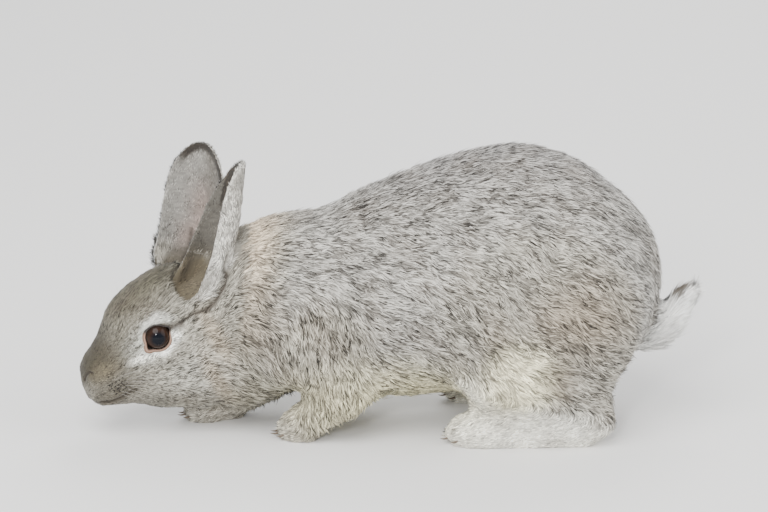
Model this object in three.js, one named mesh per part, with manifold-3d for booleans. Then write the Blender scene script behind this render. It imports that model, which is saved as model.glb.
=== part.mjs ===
// A life-size domestic rabbit with a dense grey coat, crouched on all fours with its nose down to graze.
// Every solid reaches out to the tips of the coat. Millimetres, +Z up, standing on z = 0. The rabbit faces -X,
// its left side is towards -Y, and its head is turned a little to the left.
//
// The flesh is one smooth field of rounded masses: negative inside, positive outside, in millimetres from the skin.
// Each sub-part is meshed from that field with cells of its own size and parted from its neighbours by thin cuts.
import * as THREE from "three";
import { mergeVertices } from "three/addons/utils/BufferGeometryUtils.js";
import Module from "manifold-3d";

const wasm = await Module();
wasm.setup();

// ------------------------------------------------------------------------------------ driving dimensions

const GAP = 0.35; // clearance between two sub-parts that meet
const SOLE_FLAT = 1.2; // how much of each sole is pressed flat

const HEAD_TURN = 20; // degrees to its own left
const HEAD_DOWN = 25; // degrees that the line from poll to nose points below level
const HEAD_AT = [-159.6, -17, 73]; // midway between the eyes

const LEFT = -1;
const RIGHT = 1;
const SIDES = [
  { name: "left", side: LEFT },
  { name: "right", side: RIGHT },
];

// ------------------------------------------------------------------------------------ fields of distance

const point = (x, y, z) => new THREE.Vector3(x, y, z);
const radians = THREE.MathUtils.degToRad;

// A frame at a point, pitched about Y (front end down) and turned about Z (to its own left), in degrees.
function frameAt(at, { pitch = 0, turn = 0 } = {}) {
  const euler = new THREE.Euler(0, radians(-pitch), radians(turn), "ZYX");
  return new THREE.Matrix4().makeRotationFromEuler(euler).setPosition(...at);
}

// A field given in a frame, measured from world points.
function inFrame(frame, field) {
  const inverse = frame.clone().invert();
  const p = new THREE.Vector3();
  return (world) => field(p.copy(world).applyMatrix4(inverse));
}

// An ellipsoid with half sizes along its own axes.
function mass(at, [a, b, c], tilt) {
  return inFrame(frameAt(at, tilt), (p) => {
    const near = Math.hypot(p.x / a, p.y / b, p.z / c);
    const slope = Math.hypot(p.x / (a * a), p.y / (b * b), p.z / (c * c));
    return slope < 1e-9 ? -Math.min(a, b, c) : (near * (near - 1)) / slope;
  });
}

// A limb that tapers from one joint to the next, with a round end at each.
function limb(from, to, startRadius, endRadius) {
  const start = point(...from);
  const along = point(...to).sub(start);
  const p = new THREE.Vector3();
  return (world) => {
    p.copy(world).sub(start);
    const t = THREE.MathUtils.clamp(p.dot(along) / along.lengthSq(), 0, 1);
    const radius = THREE.MathUtils.lerp(startRadius, endRadius, t);
    return p.addScaledVector(along, -t).length() - radius;
  };
}

// Several fields run together, with a fillet of the given reach where they meet.
function merge(reach, ...fields) {
  return (world) =>
    fields
      .map((field) => field(world))
      .reduce((a, b) => {
        const overlap = Math.max(reach - Math.abs(a - b), 0);
        return Math.min(a, b) - (overlap * overlap) / (4 * reach);
      });
}

// A field given for the right side, on one side or on both.
function sided(side, field) {
  const p = new THREE.Vector3();
  return (world) => field(p.set(world.x, world.y * side, world.z));
}

function both(field) {
  const p = new THREE.Vector3();
  return (world) => field(p.set(world.x, Math.abs(world.y), world.z));
}

// ------------------------------------------------------------------------------------ masses of the body

const barrel = merge(
  26,
  mass([-55, 0, 85], [64, 50, 53], { pitch: 6 }), // ribs and withers
  mass([17, 0, 95], [81, 59, 74], { pitch: 12 }), // belly and loin
  mass([80, 0, 115], [83, 62, 76], { pitch: 1 }), // rump
  mass([131, 0, 92], [46, 52, 58], { pitch: -20 }), // seat
);

const thigh = merge(
  18,
  mass([98, 42, 86], [64, 30, 64], { pitch: 14, turn: 4 }),
  limb([74, 50, 50], [128, 44, 28], 25, 15), // shank
);

const hindLeg = { hock: [134, 43, 20], heel: [126, 43, 15], toes: [58, 43, 9] };
const HIND_TOES = [21, 14.5, 11]; // half sizes

const hindFoot = merge(
  8,
  limb(hindLeg.hock, hindLeg.heel, 15, 14),
  mass([90, 43, 12], [52, 14, 15.5]), // instep
  mass(hindLeg.toes, HIND_TOES),
);

const shoulder = merge(
  18,
  mass([-64, 28, 90], [36, 24, 44], { pitch: -24 }), // blade
  limb([-56, 35, 72], [-24, 38, 38], 25, 18), // upper arm
);

// Each foreleg below the shoulder, given for the right side: the left one is tucked under the elbow, and the right
// one reaches forward under the throat.
const forelegs = {
  [LEFT]: { elbow: [-26, 40, 36], wrist: [-52, 34, 14], toes: [-60, 32, 8.5] },
  [RIGHT]: { elbow: [-40, 32, 38], wrist: [-100, 10, 15], toes: [-122, 4, 8.5] },
};
const FORE_TOES = [13, 11.5, 9.5]; // half sizes

function foreleg({ elbow, wrist, toes }) {
  const paw = merge(6, limb(wrist, toes, 11.5, 10), mass(toes, FORE_TOES));
  return merge(8, limb(elbow, wrist, 16, 12), paw);
}

const neckMass = merge(
  20,
  limb([-78, 0, 91], [-113, -6, 83], 45, 29), // nape
  mass([-94, -3, 52], [30, 33, 36]), // breast
  limb([-146, -14, 36], [-104, -6, 44], 16, 30), // throat
);

const torso = merge(20, barrel, both(thigh), both(shoulder), neckMass);
const legs = merge(8, sided(LEFT, foreleg(forelegs[LEFT])), foreleg(forelegs[RIGHT]), both(hindFoot));

// ------------------------------------------------------------------------------------ masses of the head

// The head's own frame: -X to the nose, -Y to its left, +Z to its crown, with the origin midway between the eyes.
const headFrame = frameAt(HEAD_AT, { pitch: HEAD_DOWN, turn: HEAD_TURN });

const skull = merge(
  12,
  mass([22, 0, 2], [37, 27, 27]), // cranium
  both(mass([3, 10, 9], [22, 11, 12.5])), // brow over each eye
  limb([-2, 0, -2.5], [-33, 0, -13.5], 22.5, 18), // bridge of the nose
  both(mass([14, 13, -26], [34, 17, 25])), // cheek
);

const muzzle = merge(
  5,
  limb([-32, 0, -17], [-42.5, 0, -23], 13, 10.5), // nose
  both(mass([-38, 7, -26], [13, 9.5, 10.5])), // whisker pad
);

const chin = limb([-27, 0, -36], [10, 0, -45], 9, 20);

const earBulb = both(limb([33, 14, -6], [37, 16, -5], 15.5, 16));

const headMasses = merge(9, skull, muzzle, chin, earBulb);
const flesh = merge(14, torso, inFrame(headFrame, headMasses));
const body = merge(9, flesh, legs);

const tailMasses = merge(
  10,
  mass([184, 0, 73.5], [28, 15, 11.5], { pitch: 54 }), // brush
  limb([150, 0, 58], [178, 0, 66], 13, 10), // root
);

// ------------------------------------------------------------------------------------ meshing a field

// The 12 edges of a cell, as pairs of its corners, numbered by the bits x, y and z.
const CELL_EDGES = [0, 1, 2, 3, 4, 5, 6, 7].flatMap((a) =>
  [1, 2, 4].filter((bit) => !(a & bit)).map((bit) => [a, a | bit]),
);
const SLOPE_STEP = 0.05;

function slopeOf(field, p) {
  const slope = new THREE.Vector3();
  const probe = p.clone();
  for (const axis of ["x", "y", "z"]) {
    probe[axis] = p[axis] + SLOPE_STEP;
    const ahead = field(probe);
    probe[axis] = p[axis] - SLOPE_STEP;
    slope[axis] = ahead - field(probe);
    probe[axis] = p[axis];
  }
  return slope.normalize();
}

// The surface where a field is zero, inside a box, as one closed mesh: a vertex in each grid cell that the
// surface crosses, drawn onto it, and a quad round each grid edge that it crosses. The box closes what leaves it.
function surface(field, [low, high], cells) {
  const lines = low.map((from, axis) => {
    const count = Math.ceil((high[axis] - from) / cells[axis]);
    return Array.from({ length: count + 1 }, (_, i) => from + i * cells[axis]);
  });
  const [nx, ny, nz] = lines.map((line) => line.length);
  const corner = (i, j, k) => (k * ny + j) * nx + i;
  const at = (i, j, k) => point(lines[0][i], lines[1][j], lines[2][k]);
  const onRim = (i, j, k) => !i || !j || !k || i === nx - 1 || j === ny - 1 || k === nz - 1;
  const limit = Math.min(...cells) / 4;
  const value = new Float64Array(nx * ny * nz);
  const positions = [];
  const faces = [];
  const vertexOf = new Map();

  const eachCorner = (visit) => {
    for (let k = 0; k < nz; k++)
      for (let j = 0; j < ny; j++)
        for (let i = 0; i < nx; i++) visit(i, j, k);
  };
  const placeVertex = (i, j, k) => {
    const sum = new THREE.Vector3();
    let crossings = 0;
    let rim = false;
    for (const ends of CELL_EDGES) {
      const [a, b] = ends.map((bits) => [i + (bits & 1), j + ((bits >> 1) & 1), k + (bits >> 2)]);
      const [va, vb] = [value[corner(...a)], value[corner(...b)]];
      rim ||= onRim(...a);
      if (va < 0 === vb < 0) continue;
      sum.add(at(...a).lerp(at(...b), va / (va - vb)));
      crossings++;
    }
    if (!crossings) return;
    const p = sum.divideScalar(crossings);
    for (let step = 0; step < 3 && !rim; step++)
      p.addScaledVector(slopeOf(field, p), -THREE.MathUtils.clamp(field(p), -limit, limit));
    vertexOf.set(corner(i, j, k), positions.length / 3);
    positions.push(p.x, p.y, p.z);
  };
  const quad = (inside, ...cellsAround) => {
    const [a, b, c, d] = cellsAround.map((cell) => vertexOf.get(corner(...cell)));
    faces.push(...(inside ? [a, b, c, a, c, d] : [a, c, b, a, d, c]));
  };

  eachCorner((i, j, k) => {
    value[corner(i, j, k)] = onRim(i, j, k) ? limit : field(at(i, j, k));
  });
  eachCorner((i, j, k) => {
    if (i < nx - 1 && j < ny - 1 && k < nz - 1) placeVertex(i, j, k);
  });
  eachCorner((i, j, k) => {
    if (i === nx - 1 || j === ny - 1 || k === nz - 1) return;
    const here = value[corner(i, j, k)] < 0;
    if (j && k && here !== value[corner(i + 1, j, k)] < 0)
      quad(here, [i, j - 1, k - 1], [i, j, k - 1], [i, j, k], [i, j - 1, k]);
    if (i && k && here !== value[corner(i, j + 1, k)] < 0)
      quad(here, [i - 1, j, k - 1], [i - 1, j, k], [i, j, k], [i, j, k - 1]);
    if (i && j && here !== value[corner(i, j, k + 1)] < 0)
      quad(here, [i - 1, j - 1, k], [i, j - 1, k], [i, j, k], [i - 1, j, k]);
  });
  return new THREE.BufferGeometry()
    .setAttribute("position", new THREE.Float32BufferAttribute(positions, 3))
    .setIndex(faces);
}

// ------------------------------------------------------------------------------------ cuts and joins

// A closed shape with one vertex for each corner.
function welded(geometry) {
  const bare = geometry.clone();
  bare.deleteAttribute("normal");
  bare.deleteAttribute("uv");
  return mergeVertices(bare, 1e-4);
}

function solidOf(geometry) {
  const { attributes, index } = welded(geometry);
  return new wasm.Manifold(
    new wasm.Mesh({
      numProp: 3,
      vertProperties: new Float32Array(attributes.position.array),
      triVerts: new Uint32Array(index.array),
    }),
  );
}

function geometryOf(solid) {
  const { vertProperties, triVerts } = solid.getMesh();
  return new THREE.BufferGeometry()
    .setAttribute("position", new THREE.BufferAttribute(vertProperties, 3))
    .setIndex(new THREE.BufferAttribute(triVerts, 1));
}

// A closed shape with every vertex pushed out along its normal.
function grown(geometry, by) {
  const wider = welded(geometry);
  wider.computeVertexNormals();
  const { position, normal } = wider.attributes;
  for (let i = 0; i < position.count; i++)
    position.setXYZ(
      i,
      position.getX(i) + by * normal.getX(i),
      position.getY(i) + by * normal.getY(i),
      position.getZ(i) + by * normal.getZ(i),
    );
  return wider;
}

// A shape as a cutter: what lies in it goes to one sub-part, and what lies outside it, GAP away, to the other.
const cutterOf = (geometry) => ({ inner: solidOf(geometry), outer: solidOf(grown(geometry, GAP)) });

const BLOCK = 700;

// A plane as a cutter. Its normal points to the side that is called ahead.
function plane(through, normal) {
  const out = point(...normal).normalize();
  const blockBeyond = (shift, towards) => {
    const turn = new THREE.Quaternion().setFromUnitVectors(point(0, 0, 1), towards);
    const place = new THREE.Matrix4().compose(
      point(...through).addScaledVector(towards, shift),
      turn,
      point(1, 1, 1),
    );
    return solidOf(new THREE.BoxGeometry(BLOCK, BLOCK, BLOCK).translate(0, 0, BLOCK / 2).applyMatrix4(place));
  };
  return {
    ahead: blockBeyond(GAP / 2, out),
    behind: blockBeyond(GAP / 2, out.clone().negate()),
  };
}

const cube = (cell) => [cell, cell, cell];

// ------------------------------------------------------------------------------------ where the body parts

const poll = plane([-106, 0, 72], [-0.98, -0.12, 0.2]); // ahead of it is the head
const withers = plane([-80, 0, 76], [-0.98, 0, 0.2]); // ahead of it is the neck
const hock = plane([118, 0, 27], [0.35, 0, 1]); // ahead of it is the thigh
const ground = plane([0, 0, SOLE_FLAT], [0, 0, 1]).ahead;

const mirrored = (side, [x, y, z]) => [x, side * y, z];

// Each leg's share of the skin is what lies in a bubble about its upper part, or in a sleeve along a lower part.
function bubble(side, at, half, pitch) {
  const shape = new THREE.SphereGeometry(1, 12, 8).scale(...half);
  return cutterOf(shape.applyMatrix4(frameAt(mirrored(side, at), { pitch })));
}

function sleeve(side, from, to, radius) {
  const [start, end] = [point(...mirrored(side, from)), point(...mirrored(side, to))];
  const along = end.clone().sub(start);
  const turn = new THREE.Quaternion().setFromUnitVectors(point(0, 1, 0), along.clone().normalize());
  const shape = new THREE.CapsuleGeometry(radius, along.length(), 2, 8).applyQuaternion(turn);
  return cutterOf(shape.translate(...start.lerp(end, 0.5)));
}

const joined = (...cutters) => ({
  inner: wasm.Manifold.union(cutters.map((cutter) => cutter.inner)),
  outer: wasm.Manifold.union(cutters.map((cutter) => cutter.outer)),
});

function foreCutter(side) {
  const { elbow, wrist, toes } = forelegs[side];
  return joined(
    bubble(side, [-46, 66, 64], [36, 40, 43], -30),
    sleeve(side, elbow, wrist, 18),
    sleeve(side, wrist, toes, 13.5),
  );
}

function hindCutter(side) {
  const { hock: top, toes } = hindLeg;
  return joined(
    bubble(side, [97, 76, 80], [73, 50, 78], 14),
    sleeve(side, [top[0] - 8, top[1], 17], toes, 28),
  );
}

// ------------------------------------------------------------------------------------ finishes

const coatOf = (color) => new THREE.MeshStandardMaterial({ color, roughness: 0.95, metalness: 0 });
const finishes = {
  coat: coatOf(0x9c9890),
  face: coatOf(0x8c877b),
  ear: coatOf(0xa39d96),
  pale: coatOf(0xd9d6c8),
  eye: new THREE.MeshStandardMaterial({ color: 0x2a1710, roughness: 0.05, metalness: 0 }),
};

const rabbit = new THREE.Group();

function add(name, solid, finish) {
  const mesh = new THREE.Mesh(geometryOf(solid), finish);
  mesh.name = name;
  rabbit.add(mesh);
}

// ------------------------------------------------------------------------------------ ears

const EAR_WIDTH = 64; // of the leaf laid flat
const EAR_THICKNESS = 2.6;
const EAR_STATIONS = 9;
const EAR_STEPS = 7; // round the leaf

// Each ear from the middle of its tube at the root to its tip, measured from midway between the eyes: back, to its
// own side, and up. Its ridge bows back, and the leaf opens towards a heading, in degrees from straight ahead to the
// rabbit's left, at root and tip. Each half of the leaf curls round by so many degrees at root and tip.
const ears = {
  [LEFT]: { root: [32, 15, -1.5], tip: [102.5, 38, 77.5], bow: 6, headings: [18, -36], curls: [148, 48], ease: 0.93 },
  [RIGHT]: { root: [33, 18, -3], tip: [95.5, 26, 79], bow: 3, headings: [34, 41], curls: [146, 41], ease: 0.37 },
};

// How wide the leaf is laid flat, from its root (0) to its tip (1).
const earWidth = (t) => {
  const swell = THREE.MathUtils.lerp(1.25, 1, THREE.MathUtils.smoothstep(t, 0, 0.45));
  const taper = Math.sqrt(Math.max(0, 1 - Math.max(0, (t - 0.4) / 0.6) ** 2.3));
  return EAR_WIDTH * swell * taper;
};

// An ear as a curled leaf with its ridge up the back.
function earShape(side) {
  const { bow, headings, curls, ease } = ears[side];
  const [root, tip] = [ears[side].root, ears[side].tip].map(([back, out, up]) => point(back, side * out, up));
  const axis = tip.clone().sub(root).normalize();
  const front = point(-1, 0, 0);
  front.addScaledVector(axis, -front.dot(axis)).normalize();
  const leftward = new THREE.Vector3().crossVectors(axis, front);
  if (leftward.y > 0) leftward.negate();
  const openAt = (t) => {
    const heading = radians(THREE.MathUtils.lerp(...headings, t));
    return front.clone().multiplyScalar(Math.cos(heading)).addScaledVector(leftward, Math.sin(heading));
  };
  const curlAt = (t) => radians(THREE.MathUtils.lerp(...curls, t ** ease));
  const radiusAt = (t) => earWidth(t) / (2 * curlAt(t));
  const ridgeRoot = root.clone().addScaledVector(openAt(0), -radiusAt(0));
  const positions = [];
  const faces = [];
  const around = 2 * (EAR_STEPS + 1);
  for (let station = 0; station < EAR_STATIONS; station++) {
    const share = station / (EAR_STATIONS - 1);
    const t = 0.995 * Math.sin((share * Math.PI) / 2) ** 0.9;
    const [curl, radius, open] = [curlAt(t), radiusAt(t), openAt(t)];
    const across = new THREE.Vector3().crossVectors(axis, open);
    const ridge = ridgeRoot.clone().lerp(tip, t).addScaledVector(front, -bow * Math.sin(Math.PI * t));
    const thickness = Math.min(EAR_THICKNESS, radius * 0.6);
    for (let i = 0; i < around; i++) {
      const outer = i <= EAR_STEPS;
      const angle = curl * (2 * ((outer ? i : around - 1 - i) / EAR_STEPS) - 1);
      const reach = outer ? radius : radius - thickness;
      const p = ridge
        .clone()
        .addScaledVector(open, radius - reach * Math.cos(angle))
        .addScaledVector(across, reach * Math.sin(angle));
      positions.push(p.x, p.y, p.z);
    }
  }
  const vertex = (station, i) => station * around + (i % around);
  for (let s = 0; s < EAR_STATIONS - 1; s++)
    for (let i = 0; i < around; i++) {
      faces.push(vertex(s, i), vertex(s + 1, i + 1), vertex(s, i + 1));
      faces.push(vertex(s, i), vertex(s + 1, i), vertex(s + 1, i + 1));
    }
  for (let i = 0; i < EAR_STEPS; i++) {
    const [a, b, c, d] = [i, i + 1, around - 2 - i, around - 1 - i];
    const end = vertex(EAR_STATIONS - 1, 0);
    faces.push(a, b, c, a, c, d);
    faces.push(end + a, end + c, end + b, end + a, end + d, end + c);
  }
  return new THREE.BufferGeometry()
    .setAttribute("position", new THREE.Float32BufferAttribute(positions, 3))
    .setIndex(faces)
    .applyMatrix4(headFrame);
}

// ------------------------------------------------------------------------------------ claws

const CLAW = { radius: 2.2, length: 11, droop: 24 };

// Four claws along the front of a paw, given the centre and half sizes of its toes.
function claws(side, toes, [front, across]) {
  const [x, y, z] = mirrored(side, toes);
  return [-0.75, -0.25, 0.25, 0.75].map((share) => {
    const cone = new THREE.ConeGeometry(CLAW.radius, CLAW.length, 5).rotateZ(radians(90 + CLAW.droop));
    return solidOf(cone.translate(x - front * Math.sqrt(1 - share * share), y + across * share * 0.85, z - 2.5));
  });
}

// ------------------------------------------------------------------------------------ the whole skin, parted

const foreCuts = new Map(SIDES.map(({ side }) => [side, foreCutter(side)]));
const hindCuts = new Map(SIDES.map(({ side }) => [side, hindCutter(side)]));
const legShares = [...foreCuts.values(), ...hindCuts.values()].map((cut) => cut.outer);
const withoutLegs = (solid) => wasm.Manifold.difference([solid, ...legShares]);

const HEAD_BOX = [[-222, -76, 2], [-84, 44, 152]];
const headSurface = surface(flesh, HEAD_BOX, cube(7.8));
const headGrown = solidOf(grown(headSurface, GAP));
let head = withoutLegs(solidOf(headSurface).intersect(poll.ahead));

const EYE_RADIUS = 9.4;
const EYE_AT = [3.5, 20.3, -2.4]; // the centre of the right one, in the head's frame

for (const { name, side } of SIDES) {
  const at = point(...mirrored(side, EYE_AT)).applyMatrix4(headFrame);
  const socket = cutterOf(new THREE.SphereGeometry(EYE_RADIUS, 11, 8).translate(...at));
  head = head.subtract(socket.outer);
  add(`eye_${name}`, socket.inner, finishes.eye);
  add(`ear_${name}`, solidOf(earShape(side)).subtract(headGrown), finishes.ear);
}
add("head", head, finishes.face);

const TRUNK_BOX = [[-134, -96, -8], [200, 96, 206]];
const torsoSkin = withoutLegs(solidOf(surface(flesh, TRUNK_BOX, [20, 19, 18])));
add("neck", torsoSkin.intersect(withers.ahead).subtract(poll.ahead), finishes.coat);
add("trunk", torsoSkin.intersect(withers.behind), finishes.coat);

// The skin in a box about one side's limb, the box being given for the right side.
function limbSkin(side, [low, high], cell) {
  const across = [side * low[1], side * high[1]];
  const from = [low[0], Math.min(...across), low[2]];
  const to = [high[0], Math.max(...across), high[2]];
  return solidOf(surface(body, [from, to], cube(cell))).intersect(ground);
}

const FORE_BOX = [[-152, -22, -10], [16, 84, 122]];
const HIND_BOX = [[18, 4, -10], [184, 92, 172]];
const HIND_FOOT_BOX = [[18, 4, -10], [168, 92, 84]];

for (const { name, side } of SIDES) {
  const { elbow, wrist, toes } = forelegs[side];
  const upLimb = mirrored(side, elbow.map((value, axis) => value - wrist[axis]));
  const wristCut = plane(mirrored(side, wrist), upLimb); // ahead of it is the foreleg
  const foreShare = foreCuts.get(side).inner;
  const foreUpper = limbSkin(side, FORE_BOX, 10).intersect(foreShare).intersect(wristCut.ahead);
  const forePaw = limbSkin(side, FORE_BOX, 7).intersect(foreShare).intersect(wristCut.behind);
  add(`foreleg_${name}`, foreUpper, finishes.coat);
  add(`forepaw_${name}`, wasm.Manifold.union([forePaw, ...claws(side, toes, FORE_TOES)]), finishes.coat);

  const hindShare = hindCuts.get(side).inner;
  const thighSkin = limbSkin(side, HIND_BOX, 13).intersect(hindShare).intersect(hock.ahead);
  const hindPaw = limbSkin(side, HIND_FOOT_BOX, 9.5).intersect(hindShare).intersect(hock.behind);
  add(`thigh_${name}`, thighSkin, finishes.coat);
  add(`hindfoot_${name}`, wasm.Manifold.union([hindPaw, ...claws(side, hindLeg.toes, HIND_TOES)]), finishes.pale);
}

const rumpGrown = solidOf(grown(surface(flesh, [[110, -60, 20], [210, 60, 130]], cube(8)), GAP));
const tail = solidOf(surface(tailMasses, [[130, -24, 36], [216, 24, 112]], cube(8)));
add("tail", tail.subtract(rumpGrown), finishes.pale);

// The origin is under the middle of the whole figure, on the floor.
const extent = new THREE.Box3().setFromObject(rabbit);
const middle = extent.getCenter(new THREE.Vector3());
for (const mesh of rabbit.children) mesh.geometry.translate(-middle.x, -middle.y, -extent.min.z);

export default rabbit;
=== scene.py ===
"""The looks of a life-size grey rabbit, crouched to graze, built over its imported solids.

One skin stands for every solid of flesh and lies inside them by the depth of the coat. Thin tufts of mesh
lie over it. The eyes, lids, claws, whiskers and the follicles that they grow from are pieces of their own.
Lengths are in millimetres until they reach a mesh, which is in metres. The rabbit faces -X, and its left side
is towards -Y.
"""

import logging
import math
from dataclasses import dataclass, field
from enum import Enum
from typing import Any, Iterable, Sequence

import bmesh
import bpy
import numpy as np
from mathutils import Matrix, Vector
from mathutils.bvhtree import BVHTree
from mathutils.kdtree import KDTree


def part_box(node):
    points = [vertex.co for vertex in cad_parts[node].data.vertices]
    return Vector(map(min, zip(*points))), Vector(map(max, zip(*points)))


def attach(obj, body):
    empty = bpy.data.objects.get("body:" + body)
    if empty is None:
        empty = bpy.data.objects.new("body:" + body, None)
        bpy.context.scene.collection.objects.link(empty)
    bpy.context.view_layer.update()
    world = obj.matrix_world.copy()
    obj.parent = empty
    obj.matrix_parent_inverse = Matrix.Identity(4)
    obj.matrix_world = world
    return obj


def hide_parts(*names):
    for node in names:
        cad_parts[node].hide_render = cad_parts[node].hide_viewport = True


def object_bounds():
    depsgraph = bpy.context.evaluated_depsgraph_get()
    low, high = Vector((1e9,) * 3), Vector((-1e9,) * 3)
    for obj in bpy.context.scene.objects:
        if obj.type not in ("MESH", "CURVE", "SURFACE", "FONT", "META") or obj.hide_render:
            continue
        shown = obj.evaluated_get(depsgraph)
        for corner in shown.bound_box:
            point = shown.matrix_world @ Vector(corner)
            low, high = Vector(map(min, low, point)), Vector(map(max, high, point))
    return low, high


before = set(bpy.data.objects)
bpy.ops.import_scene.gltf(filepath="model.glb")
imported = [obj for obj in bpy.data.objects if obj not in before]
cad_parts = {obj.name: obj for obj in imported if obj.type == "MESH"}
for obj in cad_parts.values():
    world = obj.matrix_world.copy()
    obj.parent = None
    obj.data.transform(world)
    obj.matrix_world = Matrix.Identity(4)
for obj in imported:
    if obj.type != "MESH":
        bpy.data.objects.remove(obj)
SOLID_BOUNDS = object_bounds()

log = logging.getLogger("rabbit")

Array = np.ndarray
Colour = tuple[float, float, float]
Face = tuple[int, int, int]

MM = 0.001
ROOT = "root"
BAKE_MAP = "OFBake"
TUFT_PATCH = 0.003  # the width of a tuft's patch on the bake map
WELD = 1e-6  # metres within which points of a solid are one
GROUP_STEPS = 20  # levels that a modifier's weights are rounded to
BUMP_HEIGHT = 0.0002  # metres that a bump stands for
SIDES = {"left": -1.0, "right": 1.0}


# --- numbers and arrays


def unit(vectors: Array) -> Array:
    """Vectors scaled to length 1, along the last axis."""
    length = np.linalg.norm(vectors, axis=-1, keepdims=True)
    return vectors / np.maximum(length, 1e-12)


def dots(a: Array, b: Array) -> Array:
    """The dot product of each pair of rows, as a column."""
    return np.sum(a * b, axis=-1, keepdims=True)


def folded(points: Array) -> Array:
    """Points with the left side laid over the right, so that what is given for the right serves both."""
    return np.stack([points[:, 0], np.abs(points[:, 1]), points[:, 2]], axis=1)


def smoothstep(low: float, high: float, value: Array) -> Array:
    """A soft step from 0 at low to 1 at high."""
    t = np.clip((value - low) / (high - low), 0.0, 1.0)
    return t * t * (3.0 - 2.0 * t)


def blend(a: Array, b: Array, share: Array) -> Array:
    """A mix of two values, where share 0 is all a and share 1 is all b."""
    return a + (b - a) * share


def ripple(points: Array, wavelength: float, seed: int) -> Array:
    """A smooth random value for each point, the same on every run.

    Args:
        points: Places in metres, one in each row.
        wavelength: The size of a swell, in millimetres.
        seed: Which of many patterns.

    Returns:
        Values spread about 0 with a deviation of about 1.
    """
    rng = np.random.default_rng(seed)
    total = np.zeros(len(points))
    waves = 9
    for direction in unit(rng.normal(size=(waves, 3))):
        pace = 2 * np.pi / (wavelength * MM) * rng.uniform(0.75, 1.35)
        total += np.sin(points @ direction * pace + rng.uniform(0, 2 * np.pi))
    return total / math.sqrt(waves / 2)


def linear(red: float, green: float, blue: float) -> Colour:
    """A display colour, 0 to 255, as the linear colour that shaders take."""
    shares = [value / 255 for value in (red, green, blue)]
    made = [x / 12.92 if x <= 0.04045 else ((x + 0.055) / 1.055) ** 2.4 for x in shares]
    return made[0], made[1], made[2]


# --- shader nodes


class Socket:
    """An output of a shader node. Arithmetic on it adds the Math nodes."""

    def __init__(self, graph: "Graph", output: bpy.types.NodeSocket) -> None:
        """Wraps an output of a node in a graph."""
        self.graph = graph
        self.output = output

    def math(self, operation: str, *others: Any, first: Any = None) -> "Socket":
        """Adds a Math node.

        Args:
            operation: What the node does.
            others: The values after this one.
            first: A value that goes before this one, for the reflected forms.

        Returns:
            The node's result.
        """
        values = [self, *others] if first is None else [first, self]
        return self.graph.node("ShaderNodeMath", {"operation": operation}, dict(enumerate(values)))

    def __add__(self, other: Any) -> "Socket":
        """This value plus another."""
        return self.math("ADD", other)

    __radd__ = __add__

    def __mul__(self, other: Any) -> "Socket":
        """This value times another."""
        return self.math("MULTIPLY", other)

    __rmul__ = __mul__

    def __sub__(self, other: Any) -> "Socket":
        """This value less another."""
        return self.math("SUBTRACT", other)

    def __rsub__(self, other: Any) -> "Socket":
        """Another value less this one."""
        return self.math("SUBTRACT", first=other)

    def clamped(self) -> "Socket":
        """This value held between 0 and 1."""
        return self.graph.node("ShaderNodeClamp", {}, {"Value": self})

    def ranged(self, low: float, high: float, to_low: float = 0.0, to_high: float = 1.0) -> "Socket":
        """This value as it goes from low to high, remade to go softly from to_low to to_high."""
        sockets = {"Value": self, "From Min": low, "From Max": high, "To Min": to_low, "To Max": to_high}
        return self.graph.node("ShaderNodeMapRange", {"interpolation_type": "SMOOTHSTEP"}, sockets)


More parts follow.
